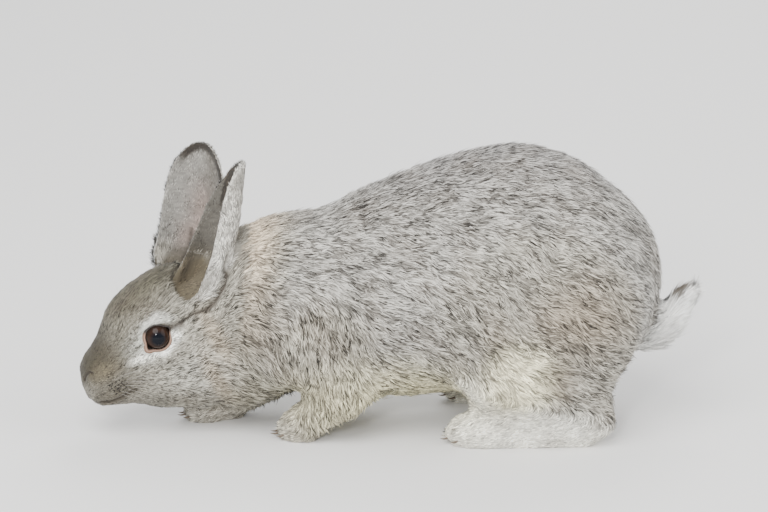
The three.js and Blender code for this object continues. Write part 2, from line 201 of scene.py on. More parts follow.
class Graph:
    """A material that is built node by node."""

    def __init__(self, name: str) -> None:
        """Makes the material, with a Principled shader on its output."""
        self.material = bpy.data.materials.new(name)
        self.material.use_nodes = True
        self.tree = self.material.node_tree
        self.tree.nodes.clear()
        self.shader = self.tree.nodes.new("ShaderNodeBsdfPrincipled")
        output = self.tree.nodes.new("ShaderNodeOutputMaterial")
        self.tree.links.new(self.shader.outputs[0], output.inputs[0])

    def put(self, target: bpy.types.NodeSocket, value: Any) -> None:
        """Sets a socket to a number or colour, or links it to another.

        Args:
            target: The socket to set.
            value: A number, a colour or the output of another node.
        """
        if isinstance(value, Socket):
            self.tree.links.new(value.output, target)
        elif isinstance(value, tuple) and target.type == "RGBA":
            target.default_value = (*value[:3], 1.0)
        else:
            target.default_value = value

    def node(
        self, kind: str, settings: dict[str, Any], sockets: dict[Any, Any], output: Any = 0
    ) -> Socket:
        """Adds any node.

        Args:
            kind: The node's type.
            settings: Its own settings, set first. The key "stops" holds a ramp's places and colours.
            sockets: The values or links of its inputs, by name or number.
            output: The output that is wanted, by name or number.

        Returns:
            That output.
        """
        made = self.tree.nodes.new(kind)
        for key, value in settings.items():
            if key != "stops":
                setattr(made, key, value)
                continue
            ramp = made.color_ramp
            while len(ramp.elements) < len(value):
                ramp.elements.new(0.5)
            for element, (place, colour) in zip(ramp.elements, value):
                element.position = place
                element.color = (*colour, 1.0)
        for key, value in sockets.items():
            self.put(made.inputs[key], value)
        return Socket(self, made.outputs[output])

    def attribute(self, name: str, output: str = "Vector") -> Socket:
        """A value that the mesh carries."""
        return self.node("ShaderNodeAttribute", {"attribute_name": name}, {}, output)

    def noise(self, scale: float, detail: float) -> Socket:
        """A cloud of light and dark through the piece."""
        return self.node("ShaderNodeTexNoise", {}, {"Scale": scale, "Detail": detail})

    def bump(self, strength: float, height: Socket) -> Socket:
        """A normal that rises and falls with a height."""
        sockets = {"Strength": strength, "Distance": BUMP_HEIGHT, "Height": height}
        return self.node("ShaderNodeBump", {}, sockets)

    def split(self, vector: Socket) -> list[Socket]:
        """The three numbers of a vector."""
        first = self.node("ShaderNodeSeparateXYZ", {}, {0: vector})
        return [Socket(self, output) for output in first.output.node.outputs]

    def mixed(self, share: Any, first: Any, second: Any, how: str = "MIX") -> Socket:
        """Two colours mixed.

        Args:
            share: How much of the second goes in, 0 to 1.
            first: The colour to start from.
            second: The colour that goes in.
            how: The way that they mix.

        Returns:
            The mixed colour.
        """
        settings = {"data_type": "RGBA", "blend_type": how}
        factor, colour_a, colour_b, result = 0, 6, 7, 2  # its names don't tell the colours' sockets apart
        sockets = {factor: share, colour_a: first, colour_b: second}
        return self.node("ShaderNodeMix", settings, sockets, result)

    def finish(self, **inputs: Any) -> bpy.types.Material:
        """Sets the shader's inputs.

        Args:
            inputs: Their values or links, named with _ for each space.

        Returns:
            The material.
        """
        for name, value in inputs.items():
            self.put(self.shader.inputs[name.replace("_", " ")], value)
        return self.material


@dataclass(frozen=True)
class FurFinish:
    """The finish that skin and coat share: the markings, broken into light and dark hairs, with painted shade
    towards the tufts' roots.
    """

    name: str
    fleck: float  # how strongly light and dark hairs part
    root_shade: float  # painted shade: how dark a tuft is at its root, where the tufts crowd
    sheen: float = 0.1
    sheen_roughness: float = 0.6
    gloss: float = 0.3
    roughness: float = 0.8
    reach: float = 1.8  # how light or dark a tuft has to be for the whole fleck
    underfur: Colour = linear(131, 117, 101)  # what the dark hairs lean towards

    def material(self) -> bpy.types.Material:
        """Builds the finish.

        Returns:
            A material that reads the attributes tone, the colour of the markings, and hair: how far up its
            tuft a point is, how light its tuft is, and how brown its tuft is.
        """
        g = Graph(self.name)
        tone = g.attribute("tone", "Color")
        up, light, warm = g.split(g.attribute("hair"))
        grain = g.noise(900.0, 2.0)
        banded = light * up.ranged(0.1, 0.8, 0.35, 1.0)
        shade = banded.ranged(-self.reach, self.reach, 1 - self.fleck, 1 + self.fleck)
        # painted shade among the tufts, darkest at a tuft's root
        depth = up.ranged(0.0, 0.7, self.root_shade, 1.0)
        level = shade * depth * grain.ranged(0.2, 0.8, 0.9, 1.1)
        grey = g.node("ShaderNodeCombineColor", {}, {0: level, 1: level, 2: level})
        brown = g.mixed(warm.clamped(), tone, self.underfur)
        base = g.mixed(1.0, brown, grey, "MULTIPLY")
        return g.finish(
            Base_Color=base,
            Roughness=self.roughness,
            Normal=g.bump(0.25, grain),
            Sheen_Weight=self.sheen,
            Sheen_Roughness=self.sheen_roughness,
            Specular_IOR_Level=self.gloss,
        )


@dataclass(frozen=True)
class EyeFinish:
    """A brown iris round a wide pupil, under a wet cornea."""

    iris: Colour = linear(44, 28, 20)
    rim: Colour = linear(30, 20, 15)
    pupil: Colour = (0.003, 0.004, 0.007)
    roughness: float = 0.09
    refraction: float = 1.24

    def material(self) -> bpy.types.Material:
        """Builds the finish.

        Returns:
            A material that reads the attribute gaze, whose first number is how far a point is from the
            middle of the pupil.
        """
        g = Graph("eye")
        out, _, _ = g.split(g.attribute("gaze"))
        fibre = g.noise(1400.0, 3.0)
        stops = [(0.0, self.pupil), (0.36, self.pupil), (0.7, self.iris), (0.92, self.rim)]
        wobble = out + (fibre - 0.5) * 0.12
        base = g.node("ShaderNodeValToRGB", {"stops": stops}, {0: wobble})
        return g.finish(Base_Color=base, Roughness=self.roughness, IOR=self.refraction)


@dataclass(frozen=True)
class LidFinish:
    """The bare margin of the lids: tan below with a brown line along it, and dark above with painted shadow
    under the brow.
    """

    tan: Colour = linear(144, 115, 96)
    line: Colour = linear(92, 65, 51)
    # dark along the eyeball's edge, and painted shadow under the brow over the upper lid
    dark: Colour = linear(36, 29, 25)
    roughness: float = 0.45

    def material(self) -> bpy.types.Material:
        """Builds the finish.

        Returns:
            A material that reads the attribute gaze, whose first number is how far up the lids a point is
            and whose second is how far it is from the eyeball, from 0 to 1.
        """
        g = Graph("lid")
        high, out, _ = g.split(g.attribute("gaze"))
        mottle = g.noise(900.0, 3.0)
        places = (0.0, 0.1, 0.28, 0.5, 0.68, 0.85)
        stops = list(zip(places, (self.dark, self.line, self.tan, self.tan, self.line, self.tan)))
        banded = g.node("ShaderNodeValToRGB", {"stops": stops}, {0: out + (mottle - 0.5) * 0.15})
        # painted shadow under the brow over the upper lid
        base = g.mixed((high + mottle * 0.1).ranged(0.62, 0.8), banded, self.dark)
        return g.finish(Base_Color=base, Roughness=self.roughness, Normal=g.bump(0.3, mottle))


@dataclass(frozen=True)
class HornFinish:
    """Bare dark horn or skin, faintly mottled."""

    name: str
    colour: Colour
    deep: Colour
    roughness: float

    def material(self) -> bpy.types.Material:
        """Builds the finish."""
        g = Graph(self.name)
        mottle = g.noise(600.0, 3.0)
        base = g.mixed(mottle.ranged(0.3, 0.7), self.deep, self.colour)
        return g.finish(Base_Color=base, Roughness=self.roughness, Normal=g.bump(0.3, mottle))


@dataclass(frozen=True)
class FloorFinish:
    """A plain pale studio floor."""

    colour: Colour = (0.78, 0.77, 0.75)
    clouded: Colour = (0.7, 0.69, 0.68)
    roughness: float = 0.9

    def material(self) -> bpy.types.Material:
        """Builds the finish."""
        g = Graph("floor")
        base = g.mixed(g.noise(3.0, 2.0).ranged(0.3, 0.7, 0.0, 0.12), self.colour, self.clouded)
        return g.finish(Base_Color=base, Roughness=self.roughness)


# --- meshes


def dress(piece: bpy.types.Object, material: bpy.types.Material, slot: str) -> bpy.types.Object:
    """Gives a piece its material and the body that it rides on, and reports it.

    Args:
        piece: The piece.
        material: Its finish.
        slot: Not used.

    Returns:
        The piece.
    """
    piece.data.materials.append(material)
    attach(piece, ROOT)
    log.info("%s: %d faces", piece.name, len(piece.data.polygons))
    return piece


def band_faces(rings: int, spokes: int, first: int = 0, looped: bool = False) -> list[Face]:
    """The faces between rings of points that follow one another.

    Args:
        rings: How many rings there are.
        spokes: How many points each has.
        first: The number of the first ring's first point.
        looped: Whether the last ring joins the first.

    Returns:
        Two triangles for each quad.
    """
    faces = []
    for ring in range(rings if looped else rings - 1):
        here, there = first + ring * spokes, first + (ring + 1) % rings * spokes
        for spoke in range(spokes):
            after = (spoke + 1) % spokes
            faces.append((here + spoke, here + after, there + after))
            faces.append((here + spoke, there + after, there + spoke))
    return faces


def cap_faces(pole: int, first: int, spokes: int, at_end: bool) -> list[Face]:
    """The faces that close the first ring, or the last, to one point."""
    pairs = [(first + spoke, first + (spoke + 1) % spokes) for spoke in range(spokes)]
    return [(pole, a, b) if at_end else (pole, b, a) for a, b in pairs]


@dataclass
class Shell:
    """A triangle mesh held as arrays, in metres."""

    points: Array
    faces: Array

    @classmethod
    def of(cls, mesh: bpy.types.Mesh) -> "Shell":
        """Reads a Blender mesh.

        Args:
            mesh: What to read.

        Returns:
            Its points, and its faces cut into triangles.
        """
        points = np.empty(len(mesh.vertices) * 3, np.float32)
        mesh.vertices.foreach_get("co", points)
        mesh.calc_loop_triangles()
        faces = np.empty(len(mesh.loop_triangles) * 3, np.int32)
        mesh.loop_triangles.foreach_get("vertices", faces)
        return cls(points.reshape(-1, 3).astype(float), faces.reshape(-1, 3))

    @classmethod
    def joined(cls, shells: Sequence["Shell"]) -> "Shell":
        """Several shells as one, in which each keeps its own points."""
        starts = np.cumsum([0] + [len(shell.points) for shell in shells])
        faces = [shell.faces + start for shell, start in zip(shells, starts)]
        return cls(np.concatenate([shell.points for shell in shells]), np.concatenate(faces))

    def corners(self) -> Array:
        """The three corners of each face, in an array of faces by corners by axes."""
        return self.points[self.faces]

    def face_normals(self) -> Array:
        """The normal of each face, as long as twice the face's area."""
        a, b, c = np.moveaxis(self.corners(), 1, 0)
        return np.cross(b - a, c - a)

    def normals(self) -> Array:
        """The normal at each point."""
        across = self.face_normals()
        count = len(self.points)
        total = [sum(np.bincount(self.faces[:, k], part, count) for k in range(3)) for part in across.T]
        return unit(np.stack(total, axis=1))

    def turned_out(self, middles: Array) -> "Shell":
        """The shell, turned over if it looks in towards its middle, or towards each point's own."""
        inward = np.mean(dots(self.normals(), self.points - middles)) < 0
        return Shell(self.points, self.faces[:, ::-1]) if inward else self

    def edge_keys(self) -> Array:
        """A number for each edge of each face, the same where two faces share it."""
        pairs = np.sort(self.faces[:, [[0, 1], [1, 2], [2, 0]]].reshape(-1, 2), axis=1).astype(np.int64)
        return pairs[:, 0] * len(self.points) + pairs[:, 1]

    def edges(self) -> Array:
        """Each edge once, as a pair of points."""
        keys = np.unique(self.edge_keys())
        return np.stack([keys // len(self.points), keys % len(self.points)], axis=1)

    def smoothed(
        self, values: Array, rounds: int, rate: Array | float = 0.5, along: Array | None = None
    ) -> Array:
        """Values on the points, each drawn towards the mean of its neighbours.

        Args:
            values: One row for each point.
            rounds: How many times to do it.
            rate: How far a value moves each time, for all points or for each.
            along: A way at each point. Where it is given, neighbours that lie that way count for more.

        Returns:
            The smoothed values.
        """
        a, b = self.edges().T
        count = len(self.points)
        ends, others = np.concatenate([a, b]), np.concatenate([b, a])
        order = np.argsort(ends, kind="stable")
        ends, others = ends[order], others[order]
        valence = np.bincount(ends, minlength=count)
        starts = np.concatenate([[0], np.cumsum(valence)[:-1]])
        weight = np.ones((len(ends), 1))
        if along is not None:
            weight = dots(unit(self.points[others] - self.points[ends]), along[ends]) ** 8
        total = np.maximum(np.add.reduceat(weight, starts, axis=0), 1e-9)
        made = values.reshape(count, -1).astype(float)
        share = np.broadcast_to(np.asarray(rate, float).reshape(-1, 1), (count, 1))
        for _ in range(rounds):
            made = made + (np.add.reduceat(made[others] * weight, starts, axis=0) / total - made) * share
        return made.reshape(values.shape)

    def mesh(self, name: str) -> bpy.types.Mesh:
        """Writes the shell to a new Blender mesh.

        Args:
            name: The mesh's name.

        Returns:
            The mesh, shaded smooth.
        """
        mesh = bpy.data.meshes.new(name)
        mesh.vertices.add(len(self.points))
        mesh.vertices.foreach_set("co", self.points.astype(np.float32).ravel())
        mesh.loops.add(self.faces.size)
        mesh.loops.foreach_set("vertex_index", self.faces.astype(np.int32).ravel())
        mesh.polygons.add(len(self.faces))
        mesh.polygons.foreach_set("loop_start", np.arange(0, self.faces.size, 3, dtype=np.int32))
        mesh.update(calc_edges=True)
        mesh.shade_smooth()
        return mesh

    def piece(self, name: str) -> bpy.types.Object:
        """Writes the shell to a new object in the scene."""
        made = bpy.data.objects.new(name, self.mesh(name))
        bpy.context.scene.collection.objects.link(made)
        return made


def carry(mesh: bpy.types.Mesh, name: str, values: Array) -> None:
    """Stores a vector on each point of a mesh."""
    made = mesh.attributes.new(name, "FLOAT_VECTOR", "POINT")
    made.data.foreach_set("vector", values.astype(np.float32).ravel())


def modified(
    shell: Shell, name: str, kind: str, groups: Array | None = None, **settings: Any
) -> Shell:
    """Runs one of Blender's modifiers on a shell.

    Args:
        shell: What to run it on.
        name: A name for the passing object.
        kind: The modifier's type.
        groups: A weight for each point, for a modifier that takes a vertex group.
        settings: The modifier's settings.

    Returns:
        What came of it.
    """
    passing = shell.piece(name)
    made = passing.modifiers.new(kind, kind)
    for key, value in settings.items():
        setattr(made, key, value)
    if groups is not None:
        group = passing.vertex_groups.new(name="share")
        steps = np.round(groups * GROUP_STEPS).astype(int)
        for step in np.unique(steps):
            group.add(np.nonzero(steps == step)[0].tolist(), step / GROUP_STEPS, "REPLACE")
        made.vertex_group = group.name
    evaluated = passing.evaluated_get(bpy.context.evaluated_depsgraph_get())
    result = Shell.of(evaluated.data)
    bpy.data.objects.remove(passing)
    return result


# --- the head's frame


@dataclass
class Head:
    """The head's own frame: X back from the nose, Y to the right and Z to the crown."""

    pitch: float = 25.0  # degrees that the nose points down
    between_eyes: tuple[float, float, float] = (3.5, 0.0, -2.4)  # where midway between the eyes is in it
    origin: Array = field(init=False)
    axes: Array = field(init=False)  # one in each row
    eyes: dict[float, Array] = field(init=False)
    eye_radius: float = field(init=False)

    def __post_init__(self) -> None:
        """Finds the frame from the boxes of the eyes."""
        boxes = {side: np.array(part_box(f"eye_{name}")) for name, side in SIDES.items()}
        self.eyes = {side: (low + high) / 2 for side, (low, high) in boxes.items()}
        self.eye_radius = float(np.mean([high - low for low, high in boxes.values()])) / 2 / MM
        self.origin = (self.eyes[1.0] + self.eyes[-1.0]) / 2
        across = unit(self.eyes[1.0] - self.eyes[-1.0])
        level_back = np.array([across[1], -across[0], 0.0])
        down = math.radians(self.pitch)
        back = level_back * math.cos(down) + np.array([0, 0, math.sin(down)])
        self.axes = np.stack([back, across, np.cross(back, across)])
        self.origin = self.origin - self.world_vector(np.array(self.between_eyes))

    def local(self, points: Array) -> Array:
        """Points of the row frame, in millimetres in the head's frame."""
        return (points - self.origin) @ self.axes.T / MM

    def world_vector(self, vectors: Array) -> Array:
        """Vectors of the head's frame in millimetres, in metres in the row frame."""
        return vectors * MM @ self.axes

    def world(self, points: Array) -> Array:
        """Points of the head's frame, in the row frame."""
        return self.origin + self.world_vector(np.asarray(points, float))


# --- how the coat lies


class Region(Enum):
    """The parts of the body that the solids are divided into."""

    HEAD = 0
    EAR = 1
    NECK = 2
    TRUNK = 3
    FORELEG = 4
    FOREPAW = 5
    THIGH = 6
    HINDFOOT = 7
    TAIL = 8

    @staticmethod
    def of(node: str) -> "Region":
        """The region that a node belongs to."""
        name = node.split("_")[0].upper()
        return Region.HEAD if name == "EYE" else Region[name]


@dataclass(frozen=True)
class Lie:
    """How the coat grows on one region. Lengths are in millimetres."""

    depth: float  # from the solid's face in to the skin
    length: float
    width: float
    lift: float  # degrees off the skin at the root
    spread: float  # degrees that tufts stray to the side
    density: float  # tufts on a square millimetre
    calm: int  # rounds that even out the facets
    tone: tuple[int, int, int]  # a display colour
    flow: tuple[float, float, float] = (1.0, 0.0, -0.3)  # where the hairs point
    fleck: float = 1.0  # how strongly light and dark hairs part


LIES: dict[Region, Lie] = {
    Region.HEAD: Lie(1.0, 3.8, 0.6, 16, 13, 2.35, 26, (146, 142, 130)),
    Region.EAR: Lie(0.35, 2.6, 0.45, 12, 12, 2.0, 12, (158, 155, 147)),
    Region.NECK: Lie(2.5, 7.8, 0.9, 20, 14, 1.25, 150, (150, 145, 131), (1.0, 0.0, -0.35)),
    Region.TRUNK: Lie(2.5, 7.8, 0.9, 18, 13, 1.09, 190, (157, 154, 147), (1.0, 0.0, -0.32)),
    Region.FORELEG: Lie(2.0, 7.0, 0.9, 20, 15, 1.05, 60, (155, 150, 137), (0.25, 0.0, -1.0)),
    Region.FOREPAW: Lie(1.0, 3.4, 0.7, 18, 10, 1.3, 14, (180, 175, 162), (-1.0, 0.0, -0.3), 0.6),
    Region.THIGH: Lie(2.5, 7.8, 0.9, 18, 14, 1.09, 150, (157, 153, 142), (0.9, 0.0, -0.55)),
    Region.HINDFOOT: Lie(1.0, 4.0, 0.8, 18, 11, 0.95, 24, (252, 250, 238), (-1.0, 0.0, -0.25), 0.25),
    Region.TAIL: Lie(3.6, 10.0, 0.8, 19, 12, 2.6, 30, (255, 255, 251), (0.8, 0.0, 0.6), 0.15),
}


# --- markings


@dataclass(frozen=True)
class Patch:
    """A soft-edged area with a colour of its own, given on the right side and used on both.

    On the head it is in millimetres in the head's frame. On the body it is in shares of the solids' whole
    box, where X runs from the nose to the tail, Y out from the middle and Z up.
    """

    colour: tuple[int, int, int]  # a display colour
    at: tuple[float, float, float]
    half: tuple[float, float, float]
    strength: float = 1.0
    edge: float = 0.5  # share of its size that fades


HEAD_PATCHES = {
    "forehead": Patch((84, 80, 66), (2, 0, 24), (42, 25, 18), 1.0, 0.6),
    "bridge of the nose": Patch((52, 49, 37), (-34, 0, -4), (27, 24, 17), 1.0, 0.5),
    "between nose and eye": Patch((94, 90, 78), (-15, 22, 0), (14, 10, 13), 0.9, 0.6),
    "side of the nose": Patch((104, 95, 74), (-37, 13, -10), (11, 6, 6), 0.7, 0.8),
    "whisker pad": Patch((88, 84, 73), (-37, 12, -25), (17, 12, 10), 0.95, 0.5),
    "about the eye": Patch((178, 178, 169), (-3, 24, -4), (17, 10, 12), 0.65, 0.6),
    "before the cheek": Patch((240, 238, 227), (-11, 22.5, -11), (10, 8, 3.2), 0.85, 0.6),
    "cheek": Patch((166, 164, 154), (16, 32, -36), (24, 18, 14), 0.75, 0.7),
    "band behind the cheek": Patch((160, 146, 125), (32, 39, -16), (5, 12, 18), 0.7, 0.8),
    "band below it": Patch((160, 146, 125), (21, 34, -44), (5, 14, 18), 0.7, 0.8),
    # painted shadow under the jaw
    "chin": Patch((73, 70, 61), (-20, 0, -47), (34, 18, 9), 0.5, 0.7),
}

BODY_PATCHES = {
    "along the back": Patch((132, 129, 126), (0.62, 0.0, 0.97), (0.33, 0.5, 0.19), 0.85, 0.9),
    "collar": Patch((143, 131, 115), (0.275, 0.6, 0.46), (0.04, 0.5, 0.1), 0.6, 0.8),
    "nape": Patch((234, 213, 184), (0.264, 0.0, 0.69), (0.042, 0.85, 0.15), 0.85, 0.7),
    "belly": Patch((204, 197, 160), (0.5, 0.0, 0.17), (0.19, 1.1, 0.14), 0.9, 0.7),
    "brown of the haunch": Patch((138, 124, 105), (0.79, 0.9, 0.5), (0.07, 0.45, 0.13), 0.65, 0.8),
    "brown of the knee": Patch((132, 122, 106), (0.665, 0.9, 0.4), (0.03, 0.4, 0.09), 0.6, 0.8),
    "pale of the thigh": Patch((230, 223, 190), (0.7, 0.95, 0.28), (0.052, 0.6, 0.12), 1.0, 0.5),
    # painted shade in the fold behind the pale of the thigh
    "fold behind it": Patch((108, 99, 86), (0.762, 0.95, 0.26), (0.018, 0.45, 0.11), 0.75, 0.8),
}


def patch_share(patch: Patch, places: Array) -> Array:
    """How much of a patch each place has, from 0 to 1, in the patch's own measure."""
    out = np.linalg.norm((folded(places) - patch.at) / patch.half, axis=1)
    return patch.strength * (1 - smoothstep(1 - patch.edge, 1 + patch.edge, out))


def shade_patches(tones: Array, places: Array, patches: Iterable[Patch]) -> Array:
    """Lays patches over tones.

    Args:
        tones: The colour at each point so far.
        places: Each point, in the patches' own measure.
        patches: What to lay, in order.

    Returns:
        The colours with the patches on.
    """
    for patch in patches:
        tones = blend(tones, np.array(linear(*patch.colour)), patch_share(patch, places)[:, None])
    return tones


# --- growth


@dataclass
class Growth:
    """What grows at each point of the skin. Lengths are in millimetres and angles in degrees."""

    length: Array
    width: Array
    lift: Array
    spread: Array
    density: Array
    flow: Array
    tone: Array
    fleck: Array  # how strongly light and dark hairs part, where 1 is the plain coat
    streak: Array  # how light the hairs are, in streaks along the flow

    def lean(self, share: Array, **targets: Any) -> None:
        """Draws values towards targets.

        Args:
            share: How far each point goes, from 0 to 1.
            targets: What to draw towards, by the value's name.
        """
        for name, target in targets.items():
            values = getattr(self, name)
            part = share if values.ndim == 1 else share[:, None]
            setattr(self, name, blend(values, np.asarray(target, float), part))

    def scale(self, **factors: Array) -> None:
        """Multiplies values, each by its own factor at each point."""
        for name, factor in factors.items():
            setattr(self, name, getattr(self, name) * factor)


# --- folds


@dataclass(frozen=True)
class Cut:
    """The section of a fold, slit or groove, in millimetres."""

    width: float  # half of it
    depth: float
    dark: float  # share of painted shade in it
    bare: float  # share of the coat that it clears


FACE_CREASES = {
    "nostril": (
        Cut(0.95, 2.0, 0.95, 0.8),
        ((-49.5, 3.5, -12), (-48.5, 6, -8.5), (-46, 9.5, -5.5), (-44, 11.5, -7.5)),
    ),
    "split of the lip": (Cut(0.8, 1.6, 0.7, 0.5), ((-51, 0, -11), (-50.5, 0, -18), (-48, 0, -26))),
    "mouth": (
        Cut(1.4, 2.2, 0.9, 0.5),
        ((-49, 0, -26), (-46, 9, -27.5), (-41, 14, -30), (-34, 15.5, -32), (-24, 16, -32)),
    ),
    "fold behind the eye": (
        Cut(1.5, 1.5, 1.0, 0.6),
        ((12, 27.5, -0.5), (15.2, 28.3, -0.7), (22.8, 30.1, 0.8), (29.3, 32.5, 2), (35.3, 35.2, 0.9)),
    ),
    "fold to the ear": (
        Cut(2.0, 2.0, 0.95, 0.6),
        ((35.3, 35.2, 0.9), (43.7, 36.2, 5.1), (48.9, 35.8, 7.7), (54.3, 36.1, 11.6), (59, 33.9, 15.8)),
    ),
    "fold up behind the ear": (
        Cut(1.4, 1.4, 0.8, 0.5), ((59, 33.9, 15.8), (61, 34.2, 21.7), (66, 35, 27.5))
    ),
}  # the folds and slits of the face, given on the right side in the head's frame

TOE_CUT = Cut(1.25, 1.7, 0.3, 0.2)
GROOVE_STEP = 0.6  # millimetres between the points of a groove


@dataclass
class Groove:
    """A cut laid on the skin."""

    cut: Cut
    spine: Array  # along its bottom before it is cut, in the row frame
    inward: Array

    @classmethod
    def laid(cls, path: Array, tree: BVHTree, cut: Cut) -> "Groove":
        """Lays a path on the skin.

        Args:
            path: Its points, in the row frame.
            tree: The skin's faces.
            cut: Its section.

        Returns:
            The groove, with points close together on the skin.
        """
        spine, inward = [], []
        for start, end in zip(path[:-1], path[1:]):
            steps = max(2, int(np.linalg.norm(end - start) / (GROOVE_STEP * MM)))
            for step in range(steps):
                place, normal, _, _ = tree.find_nearest(Vector(start + (end - start) * step / steps))
                spine.append(place)
                inward.append(-normal)
        return cls(cut, np.array(spine), np.array(inward))

    def share(self, points: Array, widen: float = 1.0, floor: bool = False) -> Array:
        """How much of the groove each point has.

        Args:
            points: Places in the row frame.
            widen: How many times its width to look.
            floor: Whether the groove has been cut, so that its walls count too.

        Returns:
            1 along its middle, fading to 0 outside it.
        """
        reach = self.cut.width * widen
        layers = (0.0, 0.33, 0.67, 1.0) if floor else (0.0,)
        spine = np.concatenate([self.spine + self.inward * self.cut.depth * layer * MM for layer in layers])
        low, high = spine.min(axis=0) - 4 * reach * MM, spine.max(axis=0) + 4 * reach * MM
        near = np.nonzero(np.all((points > low) & (points < high), axis=1))[0]
        made = np.zeros(len(points))
        if len(near):
            gaps = np.linalg.norm(points[near, None] - spine[None], axis=2).min(axis=1) / MM
            made[near] = np.exp(-((gaps / reach) ** 2))
        return made

    def carve(self, points: Array, normals: Array) -> Array:
        """Cuts the groove, with a low swelling along both its edges.

        Args:
            points: The skin's points.
            normals: Its normal at each.

        Returns:
            The points where they come to lie.
        """
        sunk = self.share(points)
        swell = np.clip(self.share(points, 2.2) - sunk, 0, 1)
        return points - normals * ((sunk - 0.25 * swell) * self.cut.depth * MM)[:, None]

    def comb(self, growth: Growth, points: Array, shade: Colour) -> None:
        """Paints shade in the groove and clears its coat.

        Args:
            growth: What grows on the skin.
            points: The skin's points.
            shade: The colour of the painted shade in the groove.
        """
        inside = self.share(points, 1.15, floor=True)
        about = self.share(points, 2.0, floor=True)
        # painted shade in the fold, slit or groove
        growth.lean(inside * self.cut.dark, tone=shade)
        growth.scale(density=1 - inside * self.cut.bare, length=1 - 0.5 * about * self.cut.bare)


@dataclass(frozen=True)
class Pad:
    """A low swelling of the face, given on the right side in the head's frame, in millimetres."""

    at: tuple[float, float, float]
    half: tuple[float, float, float]
    rise: float


FACE_PADS = (
    Pad((-36, 15, -21), (10, 9, 8), 1.0),  # whisker pad
    Pad((-47, 8, -7), (5, 5, 4.5), 0.8),  # wing of the nostril
    Pad((-36, 0, -38), (10, 9, 6), 0.8),  # chin
    Pad((9, 24, 10), (12, 9, 6), 1.3),  # brow
    Pad((4, 28, -17), (14, 9, 5), 0.7),  # under the eye
)


WHISKER_ROWS = 4
WHISKERS_IN_ROW = 5
WHISKER_FIRST = (-38.5, 10.0, -17.5)  # the foremost of the top row
WHISKER_STEP = (2.4, 1.0)  # back and out from each to the next
WHISKER_DROP = 2.5  # down from each row to the next


def whisker_roots(side: float) -> list[Array]:
    """Where the whiskers of one side grow, row by row, in millimetres in the head's frame."""
    (x, y, z), (back, out) = WHISKER_FIRST, WHISKER_STEP
    return [
        np.array([x + place * back + row * 0.6, side * (y + place * out), z - row * WHISKER_DROP])
        for row in range(WHISKER_ROWS)
        for place in range(WHISKERS_IN_ROW)
    ]


EAR_LINES = {
    -1.0: ((27.0, -9.0, -1.5), (97.0, -32.0, 77.5)),
    1.0: ((27.0, 14.0, -3.0), (91.0, 23.0, 79.0)),
}  # from the root to the tip of each ear, in millimetres in the head's frame
EAR_SINK = 13.0  # how far the hollows run down into the head, in millimetres
EAR_WIDE = 19.0  # how far out from those lines the hollows are drawn down
EAR_SHADE_WIDE = 16.0  # how far out they get painted shade

PATCH_COATS = {
    "nape": {"fleck": 0.35, "length": 6.0},
    "cheek": {"fleck": 1.7},
    "whisker pad": {"fleck": 1.8},
    "belly": {"fleck": 0.6},
    "pale of the thigh": {"fleck": 0.5},
}  # how the coat itself differs on a patch


# --- the skin


